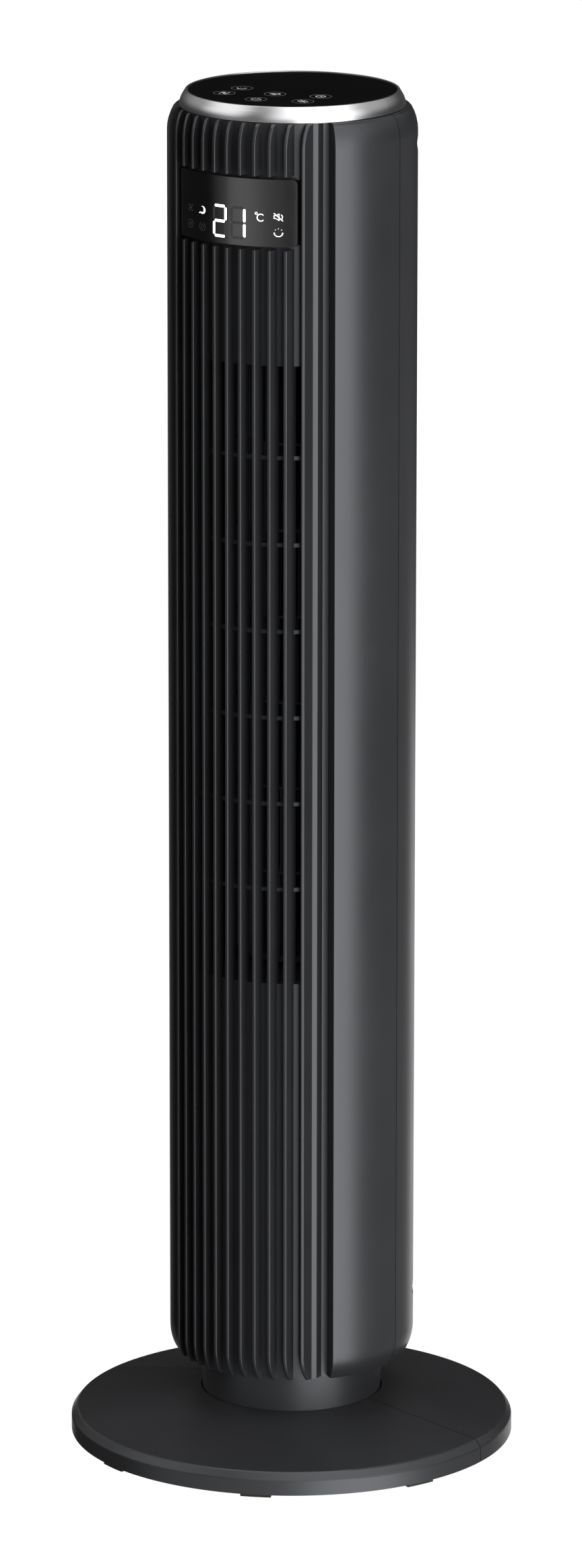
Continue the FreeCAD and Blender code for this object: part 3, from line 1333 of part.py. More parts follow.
# ------------------------------------------------------------------ base
FOOT_COUNT = 8
FOOT_ARC = 8.0
FOOT_RADII = (BASE_RADIUS - 14.0, BASE_RADIUS - 1.4)
FOOT_SEAT_Z = 3.2
BASE_SCREW_X = (-130.0, -109.0, 109.0, 130.0)
BASE_SCREW_Z = 10.0
BASE_SCREW_SEAT_Y = 6.0
BASE_EDGE_ROUND = 2.2
BASE_RIBS = 16
RIB_HALF_THICKNESS = 1.1
COLLAR_WALL = 2.5
GLAND_Z = 7.6
GLAND_RADIUS = 4.6
CORD_RADIUS = 3.0


def foot_angles():
    step = 360 / FOOT_COUNT
    return [(i + 0.5) * step for i in range(FOOT_COUNT)]


def foot_blocks(z_low):
    """Each foot's shape, up to the ceiling of its seat."""
    half = FOOT_ARC / 2
    return [sector(*FOOT_RADII, phi - half, phi + half, (z_low, FOOT_SEAT_Z)) for phi in foot_angles()]


def base_solid(inset):
    """Outer form of the base, or its hollow when set in by the skin's thickness."""
    cone_slope = (BASE_CONE_TOP - BASE_BEVEL_TOP) / (BASE_BEVEL_RADIUS - BASE_HOLE_RADIUS)
    collar_radius = BASE_HOLE_RADIUS if not inset else BASE_HOLE_RADIUS + COLLAR_WALL
    drop = inset * math.hypot(1, cone_slope)
    rounding = max(BASE_EDGE_ROUND - inset, 0.6)
    return turned([
        (collar_radius, FOOT_HEIGHT - inset),
        (BASE_RADIUS - inset, FOOT_HEIGHT - inset),
        (BASE_RADIUS - inset, BASE_RIM_TOP - inset * 0.45, rounding),
        (BASE_BEVEL_RADIUS - inset * 0.5, BASE_BEVEL_TOP - drop, rounding),
        (collar_radius, BASE_CONE_TOP - drop - (collar_radius - BASE_HOLE_RADIUS) * cone_slope),
    ])


def base_shell():
    """Whole base before it is split: skin, collar, hub plate, ribs and foot seats."""
    inside = base_solid(0.5)
    skin = base_solid(0.0).cut(base_solid(BASE_SKIN))
    flange_room = tube(BASE_HOLE_RADIUS + COLLAR_WALL + 0.1, BASE_HOLE_RADIUS - 1, 0, NECK_FLANGE_Z[1] + 0.6)
    hub_plate = tube(100.0, SPIGOT_RADIUS + 0.4, *HUB_PLATE_Z)
    collar = tube(NECK_FLANGE_RADIUS + 5, NECK_FLANGE_RADIUS + 2.4, HUB_PLATE_Z[0], BASE_CONE_TOP)
    pieces = [skin.cut(flange_room), hub_plate, collar.common(inside)]
    rib = block((-RIB_HALF_THICKNESS, RIB_HALF_THICKNESS), (1.5 - BASE_RADIUS, -NECK_FLANGE_RADIUS - 3),
                (4.0, BASE_CONE_TOP))
    step = 360 / BASE_RIBS
    for i in range(BASE_RIBS):
        pieces.append(rib.rotated(Vector(0, 0, 0), Vector(0, 0, 1), (i + 0.5) * step).common(inside))
    for phi in foot_angles():
        pieces.append(sector(FOOT_RADII[0] - 2, BASE_RADIUS - 1, phi - 6, phi + 6, (FOOT_HEIGHT, 6.0)))
    shape = fused(pieces)
    for foot in foot_blocks(-PAST):
        shape = shape.cut(foot)
    return shape


def base_halves():
    """Front and rear half with screw tabs on the joint and the cord's hole at the back."""
    whole = base_shell()
    gap = SEAM_GAP / 2
    front, rear = whole.common(front_of(-gap)), whole.common(rear_of(gap))
    inside = base_solid(0.5)
    for x in BASE_SCREW_X:
        tab_span = (x - 5, x + 5)
        front = front.fuse(block(tab_span, (-9, -gap), (4.0, 40)).common(inside))
        rear = rear.fuse(block(tab_span, (gap, BASE_SCREW_SEAT_Y), (4.0, 40)).common(inside))
    for x in BASE_SCREW_X:
        front = front.cut(cylinder_y(SHELL_SHANK + 0.05, -12, 0, x, BASE_SCREW_Z))
        rear = rear.cut(cylinder_y(1.6, 0, 12, x, BASE_SCREW_Z))
    rear = rear.cut(cylinder_y(GLAND_RADIUS, BASE_RADIUS - 9, BASE_RADIUS + 9, 0, GLAND_Z))
    return front.removeSplitter(), rear.removeSplitter()


def base_joining_screws():
    back = Vector(0, 1, 0)
    screws = []
    for x in BASE_SCREW_X:
        tip, seat = Vector(x, -8.5, BASE_SCREW_Z), Vector(x, BASE_SCREW_SEAT_Y, BASE_SCREW_Z)
        screws.append(pan_head_screw(tip, seat, back, SHELL_SHANK, 2.8, 2.2))
    return group(screws)


def rubber_feet():
    return group(foot_blocks(0.0))


def cord_gland():
    """Rubber grommet where the supply cord leaves the base."""
    shape = cylinder_y(GLAND_RADIUS, BASE_RADIUS - 7.4, BASE_RADIUS - 0.6, 0, GLAND_Z)
    return shape.cut(cylinder_y(CORD_RADIUS, BASE_RADIUS - 9, BASE_RADIUS + 2, 0, GLAND_Z))


# ------------------------------------------------------------------ the assembly
def base_nodes():
    front_half, rear_half = base_halves()
    return {
        "base_front_half": front_half,
        "base_rear_half": rear_half,
        "base_joining_screws": base_joining_screws(),
        "rubber_feet": rubber_feet(),
        "cord_gland": cord_gland(),
        "neck_column": neck_column(),
        "lock_nut": lock_nut(),
        "hub_bush": hub_bush(),
        "fixed_gear": fixed_gear(),
        "fixed_gear_screws": fixed_gear_screws(),
        "lower_race": race(LOWER_RACE_Z),
    }


def swing_nodes():
    return {
        "bearing_cage": bearing_cage(),
        "bearing_balls": bearing_balls(),
        "upper_race": race(UPPER_RACE_Z),
        "turntable": turntable(),
        "retaining_washer": retaining_washer(),
        "retaining_screws": retaining_screws(),
        "oscillation_motor": oscillation_motor(),
        "drive_pinion": drive_pinion(),
        "drive_shaft": drive_shaft(),
    }


def casing_nodes():
    return {
        "front_shell": front_shell(),
        "front_grille": front_grille(),
        "rear_shell": rear_shell(),
        "rear_grille": rear_grille(),
        "cover_screws": group(display_screws() + touch_board_screws() + intake_screws()),
        "frame_screws": group(turntable_screws() + oscillation_motor_screws() + main_board_screws()),
        "shell_screws": shell_screws(),
    }


def control_nodes():
    return {
        "trim_ring": trim_ring(),
        "touch_panel": touch_panel(),
        "top_deck": top_deck(),
        "touch_board": touch_board(),
        "touch_pads": touch_pads(),
        "display_lens": display_lens(),
        "display_light_box": display_light_box(),
        "display_board": display_board(),
        "display_leds": display_leds(),
        "main_board": main_board(),
        "board_parts": board_parts(),
        "motor_lead": motor_lead(),
        "display_cable": display_cable(),
    }


def blower_nodes():
    return {
        "scroll_wall": scroll_wall(),
        "vortex_wall": vortex_wall(),
        "lower_duct_plate": lower_duct_plate(),
        "upper_duct_plate": upper_duct_plate(),
        "top_bearing_seat": top_bearing_seat(),
        "top_bearing_bush": top_bearing_bush(),
        "impeller_segments": impeller_segments(),
        "impeller_hub_disc": impeller_hub_disc(),
        "hub_grub_screw": hub_grub_screw(),
        "impeller_end_disc": impeller_end_disc(),
        "stub_shaft": stub_shaft(),
        "motor_can": motor_can(),
        "motor_bearings": motor_bearings(),
        "motor_stator": motor_stator(),
        "stator_coils": stator_coils(),
        "motor_rotor": motor_rotor(),
        "motor_shaft": motor_shaft(),
        "motor_bracket": motor_bracket(),
        "motor_mounts": motor_mounts(),
        "motor_mount_screws": motor_mount_screws(),
    }


for nodes in (base_nodes(), swing_nodes(), casing_nodes(), control_nodes(), blower_nodes()):
    for name, shape in nodes.items():
        shape.exportStep("parts/" + name + ".step")
        box = shape.optimalBoundingBox(False)
        print(f"{name:26s} solids {len(shape.Solids):3d} valid {shape.isValid()} volume {shape.Volume:12.1f} "
              f"z {box.ZMin:7.1f} to {box.ZMax:7.1f}")
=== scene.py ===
"""Looks of the tower fan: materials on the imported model, display symbols, printed keys, light and camera."""
import json
import math

import bmesh
import bpy
from mathutils import Euler, Matrix, Vector


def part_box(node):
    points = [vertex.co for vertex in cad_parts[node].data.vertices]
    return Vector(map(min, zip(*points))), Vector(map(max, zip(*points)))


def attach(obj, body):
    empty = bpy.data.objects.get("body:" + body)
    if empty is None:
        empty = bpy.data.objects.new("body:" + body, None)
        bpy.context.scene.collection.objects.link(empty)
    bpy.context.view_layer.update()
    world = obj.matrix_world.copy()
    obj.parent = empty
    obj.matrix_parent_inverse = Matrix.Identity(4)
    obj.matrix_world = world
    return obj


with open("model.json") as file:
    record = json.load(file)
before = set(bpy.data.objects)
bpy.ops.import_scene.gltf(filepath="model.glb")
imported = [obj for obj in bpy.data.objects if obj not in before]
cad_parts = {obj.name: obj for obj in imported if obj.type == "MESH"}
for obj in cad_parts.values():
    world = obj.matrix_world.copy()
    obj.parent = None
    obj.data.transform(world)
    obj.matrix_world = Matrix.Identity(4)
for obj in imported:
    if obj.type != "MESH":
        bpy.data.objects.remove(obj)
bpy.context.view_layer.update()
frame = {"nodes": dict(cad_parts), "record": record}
MM = 0.001

CAMERA_AZIMUTH = 31.8        # degrees round the fan from its front, towards +X
CAMERA_DISTANCE = 5.6868     # metres from the fan's axis
CAMERA_HEIGHT = 1.9013       # metres above the frame's origin
CAMERA_PITCH = 14.31         # degrees below level
CAMERA_LENS = 202.2          # focal length, millimetres
CAMERA_SENSOR = 36.0         # width, millimetres
CAMERA_ROLL = 0.045          # degrees
CAMERA_SHIFT_LEFT = 0.00065  # sideways, metres


# ------------------------------------------------------------------ material graphs
class Graph:
    """A material with a Principled shader and short calls for its nodes."""

    def __init__(self, name):
        self.material = bpy.data.materials.new(name)
        self.material.use_nodes = True
        self.tree = self.material.node_tree
        self.shader = self.tree.nodes["Principled BSDF"]
        self.place = self.node("ShaderNodeTexCoord").outputs["Object"]

    def node(self, kind, **settings):
        made = self.tree.nodes.new(kind)
        for key, value in settings.items():
            setattr(made, key, value)
        return made

    def link(self, source, target):
        self.tree.links.new(source, target)

    def set(self, **values):
        """Fixed values on the shader, by socket name with underscores for spaces."""
        for key, value in values.items():
            self.shader.inputs[key.replace("_", " ")].default_value = value

    def stretched(self, scale):
        mapping = self.node("ShaderNodeMapping")
        mapping.inputs["Scale"].default_value = scale
        self.link(self.place, mapping.inputs["Vector"])
        return mapping.outputs["Vector"]

    def noise(self, scale, detail=2.0, roughness=0.5, vector=None):
        made = self.node("ShaderNodeTexNoise")
        made.inputs["Scale"].default_value = scale
        made.inputs["Detail"].default_value = detail
        made.inputs["Roughness"].default_value = roughness
        self.link(vector or self.place, made.inputs["Vector"])
        return made.outputs["Fac"]

    def cells(self, scale, feature="F1"):
        made = self.node("ShaderNodeTexVoronoi", feature=feature)
        made.inputs["Scale"].default_value = scale
        self.link(self.place, made.inputs["Vector"])
        return made.outputs["Distance"]

    def wave(self, scale, distortion=0.0, direction="Z", vector=None):
        made = self.node("ShaderNodeTexWave", wave_type="BANDS", bands_direction=direction)
        made.inputs["Scale"].default_value = scale
        made.inputs["Distortion"].default_value = distortion
        self.link(vector or self.place, made.inputs["Vector"])
        return made.outputs["Fac"]

    def mapped(self, source, low, high, from_low=0.3, from_high=0.7):
        made = self.node("ShaderNodeMapRange")
        made.inputs["From Min"].default_value = from_low
        made.inputs["From Max"].default_value = from_high
        made.inputs["To Min"].default_value = low
        made.inputs["To Max"].default_value = high
        self.link(source, made.inputs["Value"])
        return made.outputs["Result"]

    def colours(self, factor, first, second):
        made = self.node("ShaderNodeMix", data_type="RGBA")
        made.inputs["A"].default_value = (*first, 1)
        made.inputs["B"].default_value = (*second, 1)
        self.link(factor, made.inputs["Factor"])
        self.link(made.outputs["Result"], self.shader.inputs["Base Color"])

    def roughness(self, source):
        self.link(source, self.shader.inputs["Roughness"])

    def bump(self, height, strength, distance):
        made = self.node("ShaderNodeBump")
        made.inputs["Strength"].default_value = strength
        made.inputs["Distance"].default_value = distance
        self.link(height, made.inputs["Height"])
        self.link(made.outputs["Normal"], self.shader.inputs["Normal"])

    def sum(self, first, second, share):
        """first + share * second"""
        scaled = self.node("ShaderNodeMath", operation="MULTIPLY_ADD")
        scaled.inputs[1].default_value = share
        self.link(second, scaled.inputs[0])
        self.link(first, scaled.inputs[2])
        return scaled.outputs[0]


def tinted(colour, factor):
    return tuple(min(1.0, c * factor) for c in colour)


def moulded_plastic(name, colour, rough_low, rough_high, grain_scale, grain_depth, specular=0.5):
    """Plastic with a fine eroded grain, faint flow variation and uneven gloss."""
    graph = Graph(name)
    cloud = graph.noise(9.0, 4.0, 0.6)
    grain = graph.noise(grain_scale, 2.0, 0.6)
    pits = graph.cells(grain_scale * 0.6)
    graph.colours(graph.mapped(graph.sum(cloud, grain, 0.35), 0.0, 1.0, 0.4, 0.95),
                  tinted(colour, 0.86), tinted(colour, 1.16))
    graph.roughness(graph.mapped(graph.sum(cloud, grain, 0.5), rough_low, rough_high, 0.45, 1.05))
    graph.bump(graph.sum(grain, pits, 0.5), 0.35, grain_depth)
    graph.set(Specular_IOR_Level=specular, Specular_Tint=COOL_SHEEN)
    return graph.material


def gloss_black(name, colour, specular, roughness):
    """Polished black panel: faint orange peel and hairline variation in its gloss."""
    graph = Graph(name)
    peel = graph.noise(120.0, 2.0, 0.4)
    smear = graph.noise(14.0, 5.0, 0.65)
    graph.colours(graph.mapped(smear, 0.0, 1.0), tinted(colour, 0.8), tinted(colour, 1.2))
    graph.roughness(graph.mapped(smear, roughness * 0.7, roughness * 1.5))
    graph.bump(peel, 0.05, 0.00002)
    graph.set(Specular_IOR_Level=specular)
    return graph.material


def satin_metal(name, colour, rough_low, rough_high, stretch, relief=0.12):
    """Metal with fine turned or brushed lines along the axis that stretch leaves long."""
    graph = Graph(name)
    lines = graph.noise(1.0, 3.0, 0.7, graph.stretched(stretch))
    cloud = graph.noise(22.0, 3.0, 0.55)
    graph.colours(graph.mapped(graph.sum(cloud, lines, 0.6), 0.0, 1.0, 0.5, 1.1),
                  tinted(colour, 0.88), tinted(colour, 1.08))
    graph.roughness(graph.mapped(lines, rough_low, rough_high))
    graph.bump(lines, relief, 0.00001)
    graph.set(Metallic=1.0)
    return graph.material


def rubber(name, colour):
    graph = Graph(name)
    grain = graph.noise(1400.0, 3.0, 0.7)
    dust = graph.noise(35.0, 5.0, 0.7)
    graph.colours(graph.mapped(dust, 0.0, 1.0), tinted(colour, 0.8), tinted(colour, 1.5))
    graph.roughness(graph.mapped(dust, 0.62, 0.85))
    graph.bump(grain, 0.5, 0.00003)
    graph.set(Specular_IOR_Level=0.35)
    return graph.material


def natural_nylon(name, colour):
    graph = Graph(name)
    cloud = graph.noise(60.0, 3.0, 0.5)
    graph.colours(graph.mapped(cloud, 0.0, 1.0), tinted(colour, 0.93), tinted(colour, 1.04))
    graph.roughness(graph.mapped(cloud, 0.3, 0.45))
    graph.bump(graph.noise(900.0), 0.15, 0.00002)
    graph.set(Subsurface_Weight=0.15, Subsurface_Scale=0.002)
    return graph.material


def circuit_board(name, colour):
    """Solder mask with faint tracks under it."""
    graph = Graph(name)
    tracks = graph.wave(160.0, 2.0, "X")
    crossing = graph.wave(120.0, 1.0, "Z")
    pattern = graph.sum(tracks, crossing, 0.6)
    graph.colours(graph.mapped(pattern, 0.0, 1.0, 0.9, 1.0), colour, tinted(colour, 1.7))
    graph.roughness(graph.mapped(graph.noise(90.0), 0.25, 0.4))
    graph.bump(pattern, 0.2, 0.00003)
    return graph.material


def copper_winding(name, colour):
    graph = Graph(name)
    turns = graph.wave(700.0, 0.3, "Z")
    cloud = graph.noise(50.0, 2.0)
    # The colour is darker where the turns' bump is low: painted shade in the grooves between the turns.
    graph.colours(graph.mapped(graph.sum(turns, cloud, 0.4), 0.0, 1.0, 0.2, 1.2),
                  tinted(colour, 0.45), tinted(colour, 1.1))
    graph.roughness(graph.mapped(cloud, 0.25, 0.4))
    graph.bump(turns, 0.8, 0.0002)
    graph.set(Metallic=1.0)
    return graph.material


def stacked_sheets(name, colour):
    graph = Graph(name)
    sheets = graph.wave(900.0, 0.1, "Z")
    cloud = graph.noise(70.0, 4.0, 0.7)
    graph.colours(graph.mapped(graph.sum(sheets, cloud, 0.8), 0.0, 1.0, 0.3, 1.4),
                  tinted(colour, 0.7), tinted(colour, 1.2))
    graph.roughness(graph.mapped(cloud, 0.35, 0.6))
    graph.bump(sheets, 0.5, 0.0001)
    graph.set(Metallic=0.9)
    return graph.material


def glowing_print(name, colour, glow, strength):
    """Translucent print with a glow, slightly uneven like a real diffuser: a real light behind the lit marks,
    a painted glow on the unlit marks and the printed key rings.
    """
    graph = Graph(name)
    cloud = graph.noise(400.0, 2.0)
    graph.colours(graph.mapped(cloud, 0.0, 1.0), tinted(colour, 0.92), tinted(colour, 1.05))
    graph.roughness(graph.mapped(cloud, 0.3, 0.45))
    graph.set(Emission_Color=(*glow, 1), Emission_Strength=strength)
    return graph.material


COOL_SHEEN = (0.94, 0.965, 1.02, 1)
BODY_COLOUR = (0.0165, 0.0168, 0.0180)
BASE_COLOUR = (0.0150, 0.0152, 0.0162)


def build_materials():
    turned_lines = (900.0, 900.0, 6000.0)
    along_z = (2500.0, 2500.0, 30.0)
    return {
        "body_plastic": moulded_plastic("body_plastic", BODY_COLOUR, 0.30, 0.38, 1500.0, 0.000012),
        "grille_plastic": moulded_plastic("grille_plastic", BODY_COLOUR, 0.30, 0.38, 1500.0, 0.000012),
        "base_plastic": moulded_plastic("base_plastic", BASE_COLOUR, 0.34, 0.42, 1500.0, 0.000014),
        "ring_metal": satin_metal("ring_metal", (0.66, 0.66, 0.67), 0.27, 0.30, turned_lines, 0.03),
        "panel_gloss": gloss_black("panel_gloss", (0.0024, 0.0024, 0.0026), 0.08, 0.08),
        "lens_gloss": gloss_black("lens_gloss", (0.004, 0.004, 0.0045), 0.5, 0.16),
        "inner_plastic": moulded_plastic("inner_plastic", (0.012, 0.012, 0.013), 0.5, 0.6, 1100.0, 0.00002),
        "impeller_plastic": moulded_plastic("impeller_plastic", (0.014, 0.014, 0.015), 0.45, 0.55, 900.0,
                                            0.00002),
        "nylon": natural_nylon("nylon", (0.72, 0.70, 0.64)),
        "rubber": rubber("rubber", (0.012, 0.012, 0.012)),
        "steel": satin_metal("steel", (0.56, 0.57, 0.58), 0.18, 0.3, turned_lines),
        "screw_steel": satin_metal("screw_steel", (0.5, 0.5, 0.52), 0.25, 0.4, turned_lines),
        "motor_can_steel": satin_metal("motor_can_steel", (0.5, 0.51, 0.53), 0.3, 0.42, along_z),
        "lamination": stacked_sheets("lamination", (0.3, 0.3, 0.32)),
        "copper": copper_winding("copper", (0.75, 0.32, 0.13)),
        "magnet": satin_metal("magnet", (0.14, 0.14, 0.15), 0.4, 0.6, along_z),
        "sintered_bronze": stacked_sheets("sintered_bronze", (0.5, 0.34, 0.15)),
        "circuit_board": circuit_board("circuit_board", (0.012, 0.085, 0.03)),
        "board_parts": moulded_plastic("board_parts", (0.03, 0.03, 0.033), 0.35, 0.5, 1200.0, 0.00002),
        "led_blocks": moulded_plastic("led_blocks", (0.7, 0.7, 0.7), 0.4, 0.5, 900.0, 0.00002),
        "cable_sheath": rubber("cable_sheath", (0.02, 0.02, 0.02)),
    }


def dress_nodes(materials):
    slots = {part["node"]: part["material_slot"] for part in frame["record"]["subparts"]}
    for name, thing in frame["nodes"].items():
        thing.data.materials.clear()
        thing.data.materials.append(materials[slots[name]])


# ------------------------------------------------------------------ flat symbols made of strokes
def spot(centre, radius, degrees):
    """Point on a circle, its angle counted anticlockwise from the right."""
    turn = math.radians(degrees)
    return (centre[0] + radius * math.cos(turn), centre[1] + radius * math.sin(turn))


def moved(points, centre, size=1.0):
    return [(centre[0] + size * x, centre[1] + size * y) for x, y in points]


class Symbols:
    """Collects thin printed marks: outlines in millimetres on a flat sheet, later laid on a surface."""

    STEP = 0.6               # longest straight run of a stroke, so that it follows a curved surface
    HALF_THICKNESS = 0.05

    def __init__(self):
        self.outlines = []

    def stroke(self, points, width, closed=False):
        """Line of even width with round ends."""
        dense = self.divided(points, closed)
        half = width / 2
        left, right = [], []
        count = len(dense)
        for i, point in enumerate(dense):
            before = dense[i - 1] if (i or closed) else point
            after = dense[(i + 1) % count] if (i < count - 1 or closed) else point
            along = Vector(after) - Vector(before)
            side = Vector((-along.y, along.x)).normalized() * half
            left.append((point[0] + side.x, point[1] + side.y))
            right.append((point[0] - side.x, point[1] - side.y))
        spans = count if closed else count - 1
        for i in range(spans):
            j = (i + 1) % count
            self.outlines.append([left[i], left[j], right[j], right[i]])
        if not closed:
            self.disc(dense[0], half)
            self.disc(dense[-1], half)

    def divided(self, points, closed):
        dense = []
        spans = len(points) if closed else len(points) - 1
        for i in range(spans):
            start, end = Vector(points[i]), Vector(points[(i + 1) % len(points)])
            steps = max(1, math.ceil((end - start).length / self.STEP))
            dense += [tuple(start.lerp(end, k / steps)) for k in range(steps)]
        if not closed:
            dense.append(tuple(points[-1]))
        return dense

    def disc(self, centre, radius, sides=14):
        self.outlines.append([spot(centre, radius, 360 * k / sides) for k in range(sides)])

    def arc(self, centre, radius, start, end, width):
        steps = max(6, int(abs(end - start) / 12))
        step = (end - start) / steps
        self.stroke([spot(centre, radius, start + step * k) for k in range(steps + 1)], width)

    def ring(self, centre, radius, width, sides=48):
        self.stroke([spot(centre, radius, 360 * k / sides) for k in range(sides)], width, closed=True)

    def piece(self, name, surface, material, slot, body):
        """Closed thin mesh of all marks; surface(u, v, height) gives the place on the object."""
        shape = bmesh.new()
        for outline in self.outlines:
            top = [shape.verts.new(surface(u, v, self.HALF_THICKNESS)) for u, v in outline]
            bottom = [shape.verts.new(surface(u, v, -self.HALF_THICKNESS)) for u, v in outline]
            shape.faces.new(top)
            shape.faces.new(list(reversed(bottom)))
            for i in range(len(outline)):
                j = (i + 1) % len(outline)
                shape.faces.new([top[j], top[i], bottom[i], bottom[j]])
        bmesh.ops.recalc_face_normals(shape, faces=shape.faces)
        mesh = bpy.data.meshes.new(name)
        shape.to_mesh(mesh)
        shape.free()
        thing = bpy.data.objects.new(name, mesh)
        bpy.context.scene.collection.objects.link(thing)
        mesh.materials.append(material)
        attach(thing, body)


# Every symbol is drawn in millimetres round its centre and enlarged by size; width is that of its strokes.
def symbol_swing(marks, centre, size, width):
    """Broad arc with a dot at each end and three small ones above."""
    marks.arc(centre, 2.35 * size, 200, 340, width * 1.25)
    for side in (-1, 1):
        marks.disc((centre[0] + side * 2.25 * size, centre[1] - 0.35 * size), width * 0.95)
    for angle in (45, 90, 135):
        marks.disc(spot(centre, 2.35 * size, angle), width * 0.6)


def symbol_power(marks, centre, size, width):
    """Open ring with an upright stroke in its gap."""
    marks.arc(centre, 2.3 * size, 125, 415, width)
    marks.stroke(moved([(0, 0.6), (0, 2.9)], centre, size), width)


def symbol_timer(marks, centre, size, width):
    """Clock face with two hands."""
    marks.ring(centre, 2.4 * size, width)
    marks.stroke(moved([(0, 1.4), (0, 0), (1.1, -0.5)], centre, size), width)


def symbol_fan(marks, centre, size, width):
    """Four swept blades round a hub."""
    marks.disc(centre, 0.55 * size)
    for quarter in range(4):
        blade = [spot(centre, size * (0.8 + 1.9 * k / 8), 90 * quarter + 55 * k / 8) for k in range(9)]
        marks.stroke(blade, width * 1.5)


def symbol_wind(marks, centre, size, width):
    """Three air streams that curl at their ends, up or down."""
    bend = 0.75
    for level, end, curl in ((1.05, 0.8, 1), (0.0, 1.7, 1), (-1.05, 0.5, -1)):
        points = [(-2.4, level), (end, level)]
        for k in range(1, 8):
            across, rise = spot((end, bend), bend, 30 * k - 90)
            points.append((across, level + curl * rise))
        marks.stroke(moved(points, centre, size), width)


def symbol_mute(marks, centre, size, width):
    """Loudspeaker with a stroke through it."""
    speaker = [(-2.5, -0.9), (-1.3, -0.9), (0.4, -2.1), (0.4, 2.1), (-1.3, 0.9), (-2.5, 0.9)]
    marks.stroke(moved(speaker, centre, size), width, closed=True)
    marks.arc((centre[0] + 0.4 * size, centre[1]), 1.9 * size, -50, 50, width)
    marks.stroke(moved([(-2.4, 2.3), (2.4, -2.3)], centre, size), width * 1.2)


def symbol_moon(marks, centre, size, width):
    """Crescent with a small wave below it."""
    outer, inner = [], []
    for k in range(13):
        degrees = -115 + 230 * k / 12
        across, rise = spot((0, 0), 1, degrees)
        outer.append(spot((0.2, 0.2), 2.4, degrees))
        inner.append((1.75 * across - 0.5, 1.95 * rise + 0.4))
    outer, inner = moved(outer, centre, size), moved(inner, centre, size)
    for k in range(12):
        marks.outlines.append([outer[k], outer[k + 1], inner[k + 1], inner[k]])
    marks.stroke(moved([(-2.7, -2.0), (-1.9, -1.2), (-1.1, -2.0), (-0.3, -1.2)], centre, size), width)


def symbol_drop(marks, centre, size, width):
    """Drop inside an open ring."""
    marks.arc(centre, 2.4 * size, 120, 420, width)
    drop = [(0, 1.5), (0.9, 0.1), (0.5, -0.9), (-0.5, -0.9), (-0.9, 0.1)]
    marks.stroke(moved(drop, centre, size), width, closed=True)


def symbol_target(marks, centre, size, width):
    """Two rings, one inside the other."""
    marks.ring(centre, 2.4 * size, width)
    marks.ring(centre, 0.8 * size, width)


def symbol_celsius(marks, centre, size, width):
    """Small ring and a capital C."""
    marks.ring(moved([(-2.9, 2.7)], centre, size)[0], 0.7 * size, 0.34, 20)
    marks.arc(centre, 2.3 * size, 50, 310, width)


def symbol_hour(marks, centre, size, width):
    """Small letter h."""
    marks.stroke(moved([(-1, -2.7), (-1, 2.7)], centre, size), width)
    marks.stroke(moved([(-1, -0.3), (0, 0.6), (1, -0.3), (1, -2.7)], centre, size), width)


DIGIT_SEGMENTS = {2: "abged", 1: "bc"}


def digit(lit, dim, centre, number):
    """Seven rounded segments, the unused ones faint."""
    half_width, half_height = 4.62, 9.9
    across, gap, width = 3.2, 1.5, 1.8
    ends = {
        "a": ((-across, half_height), (across, half_height)),
        "g": ((-across, 0), (across, 0)),
        "d": ((-across, -half_height), (across, -half_height)),
        "f": ((-half_width, gap), (-half_width, half_height - gap)),
        "b": ((half_width, gap), (half_width, half_height - gap)),
        "e": ((-half_width, -gap), (-half_width, gap - half_height)),
        "c": ((half_width, -gap), (half_width, gap - half_height)),
    }
    for name, line in ends.items():
        marks = lit if name in DIGIT_SEGMENTS[number] else dim
        marks.stroke(moved(line, centre), width)


# Places on the display, across from its middle and up from the middle of the digits, then size and stroke.
DIGITS_BELOW_MIDDLE = 7.4
DIGIT_PLACES = ((-6.4, 2), (7.45, 1))
LIT_SYMBOLS = (
    (symbol_celsius, 23.0, 4.4, 1.0, 0.58),
    (symbol_mute, 33.9, 5.1, 1.05, 0.36),
    (symbol_swing, 33.9, -5.1, 1.1, 0.38),
    (symbol_moon, -21.3, 5.0, 1.05, 0.36),
)
UNLIT_SYMBOLS = (
    (symbol_hour, 22.2, -5.3, 1.0, 0.5),
    (symbol_fan, -33.1, 5.1, 1.0, 0.45),
    (symbol_target, -33.1, -5.4, 1.1, 0.45),
    (symbol_drop, -21.3, -5.6, 1.1, 0.45),
)


def display_symbols():
    low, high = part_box("display_lens")
    radius = -low.y / MM
    middle = (low.z + high.z) / 2 / MM

    def on_lens(u, v, height):
        r = radius + height
        return Vector((u, -math.sqrt(r * r - u * u), v)) * MM

    lit, dim = Symbols(), Symbols()
    row = middle - DIGITS_BELOW_MIDDLE
    for across, number in DIGIT_PLACES:
        digit(lit, dim, (across, row), number)
    for marks, symbols in ((lit, LIT_SYMBOLS), (dim, UNLIT_SYMBOLS)):
        for symbol, across, up, size, width in symbols:
            symbol(marks, (across, row + up), size, width)
    white = glowing_print("lit_symbols", (0.9, 0.92, 0.95), (0.93, 0.97, 1.0), 1.6)
    # The unlit segments and symbols have no light behind them: their faint emission is a painted glow.
    faint = glowing_print("unlit_symbols", (0.035, 0.036, 0.038), (0.5, 0.52, 0.55), 0.012)
    lit.piece("display_lit_symbols", on_lens, white, "led_blocks", "tower")
    dim.piece("display_unlit_symbols", on_lens, faint, "led_blocks", "tower")


# Touch keys: place on the panel in millimetres from its centre, and symbol.
KEYS = (
    (-30.0, -14.2, symbol_swing),
    (-30.0, -36.0, symbol_fan),
    (0.2, -21.9, symbol_wind),
    (0.2, -45.4, symbol_power),
    (30.2, -14.0, symbol_timer),
    (30.2, -36.0, symbol_mute),
)
KEY_RING_RADIUS = 7.1
KEY_RING_WIDTH = 0.3
KEY_SYMBOL_SIZE = 1.35
KEY_SYMBOL_WIDTH = 0.44


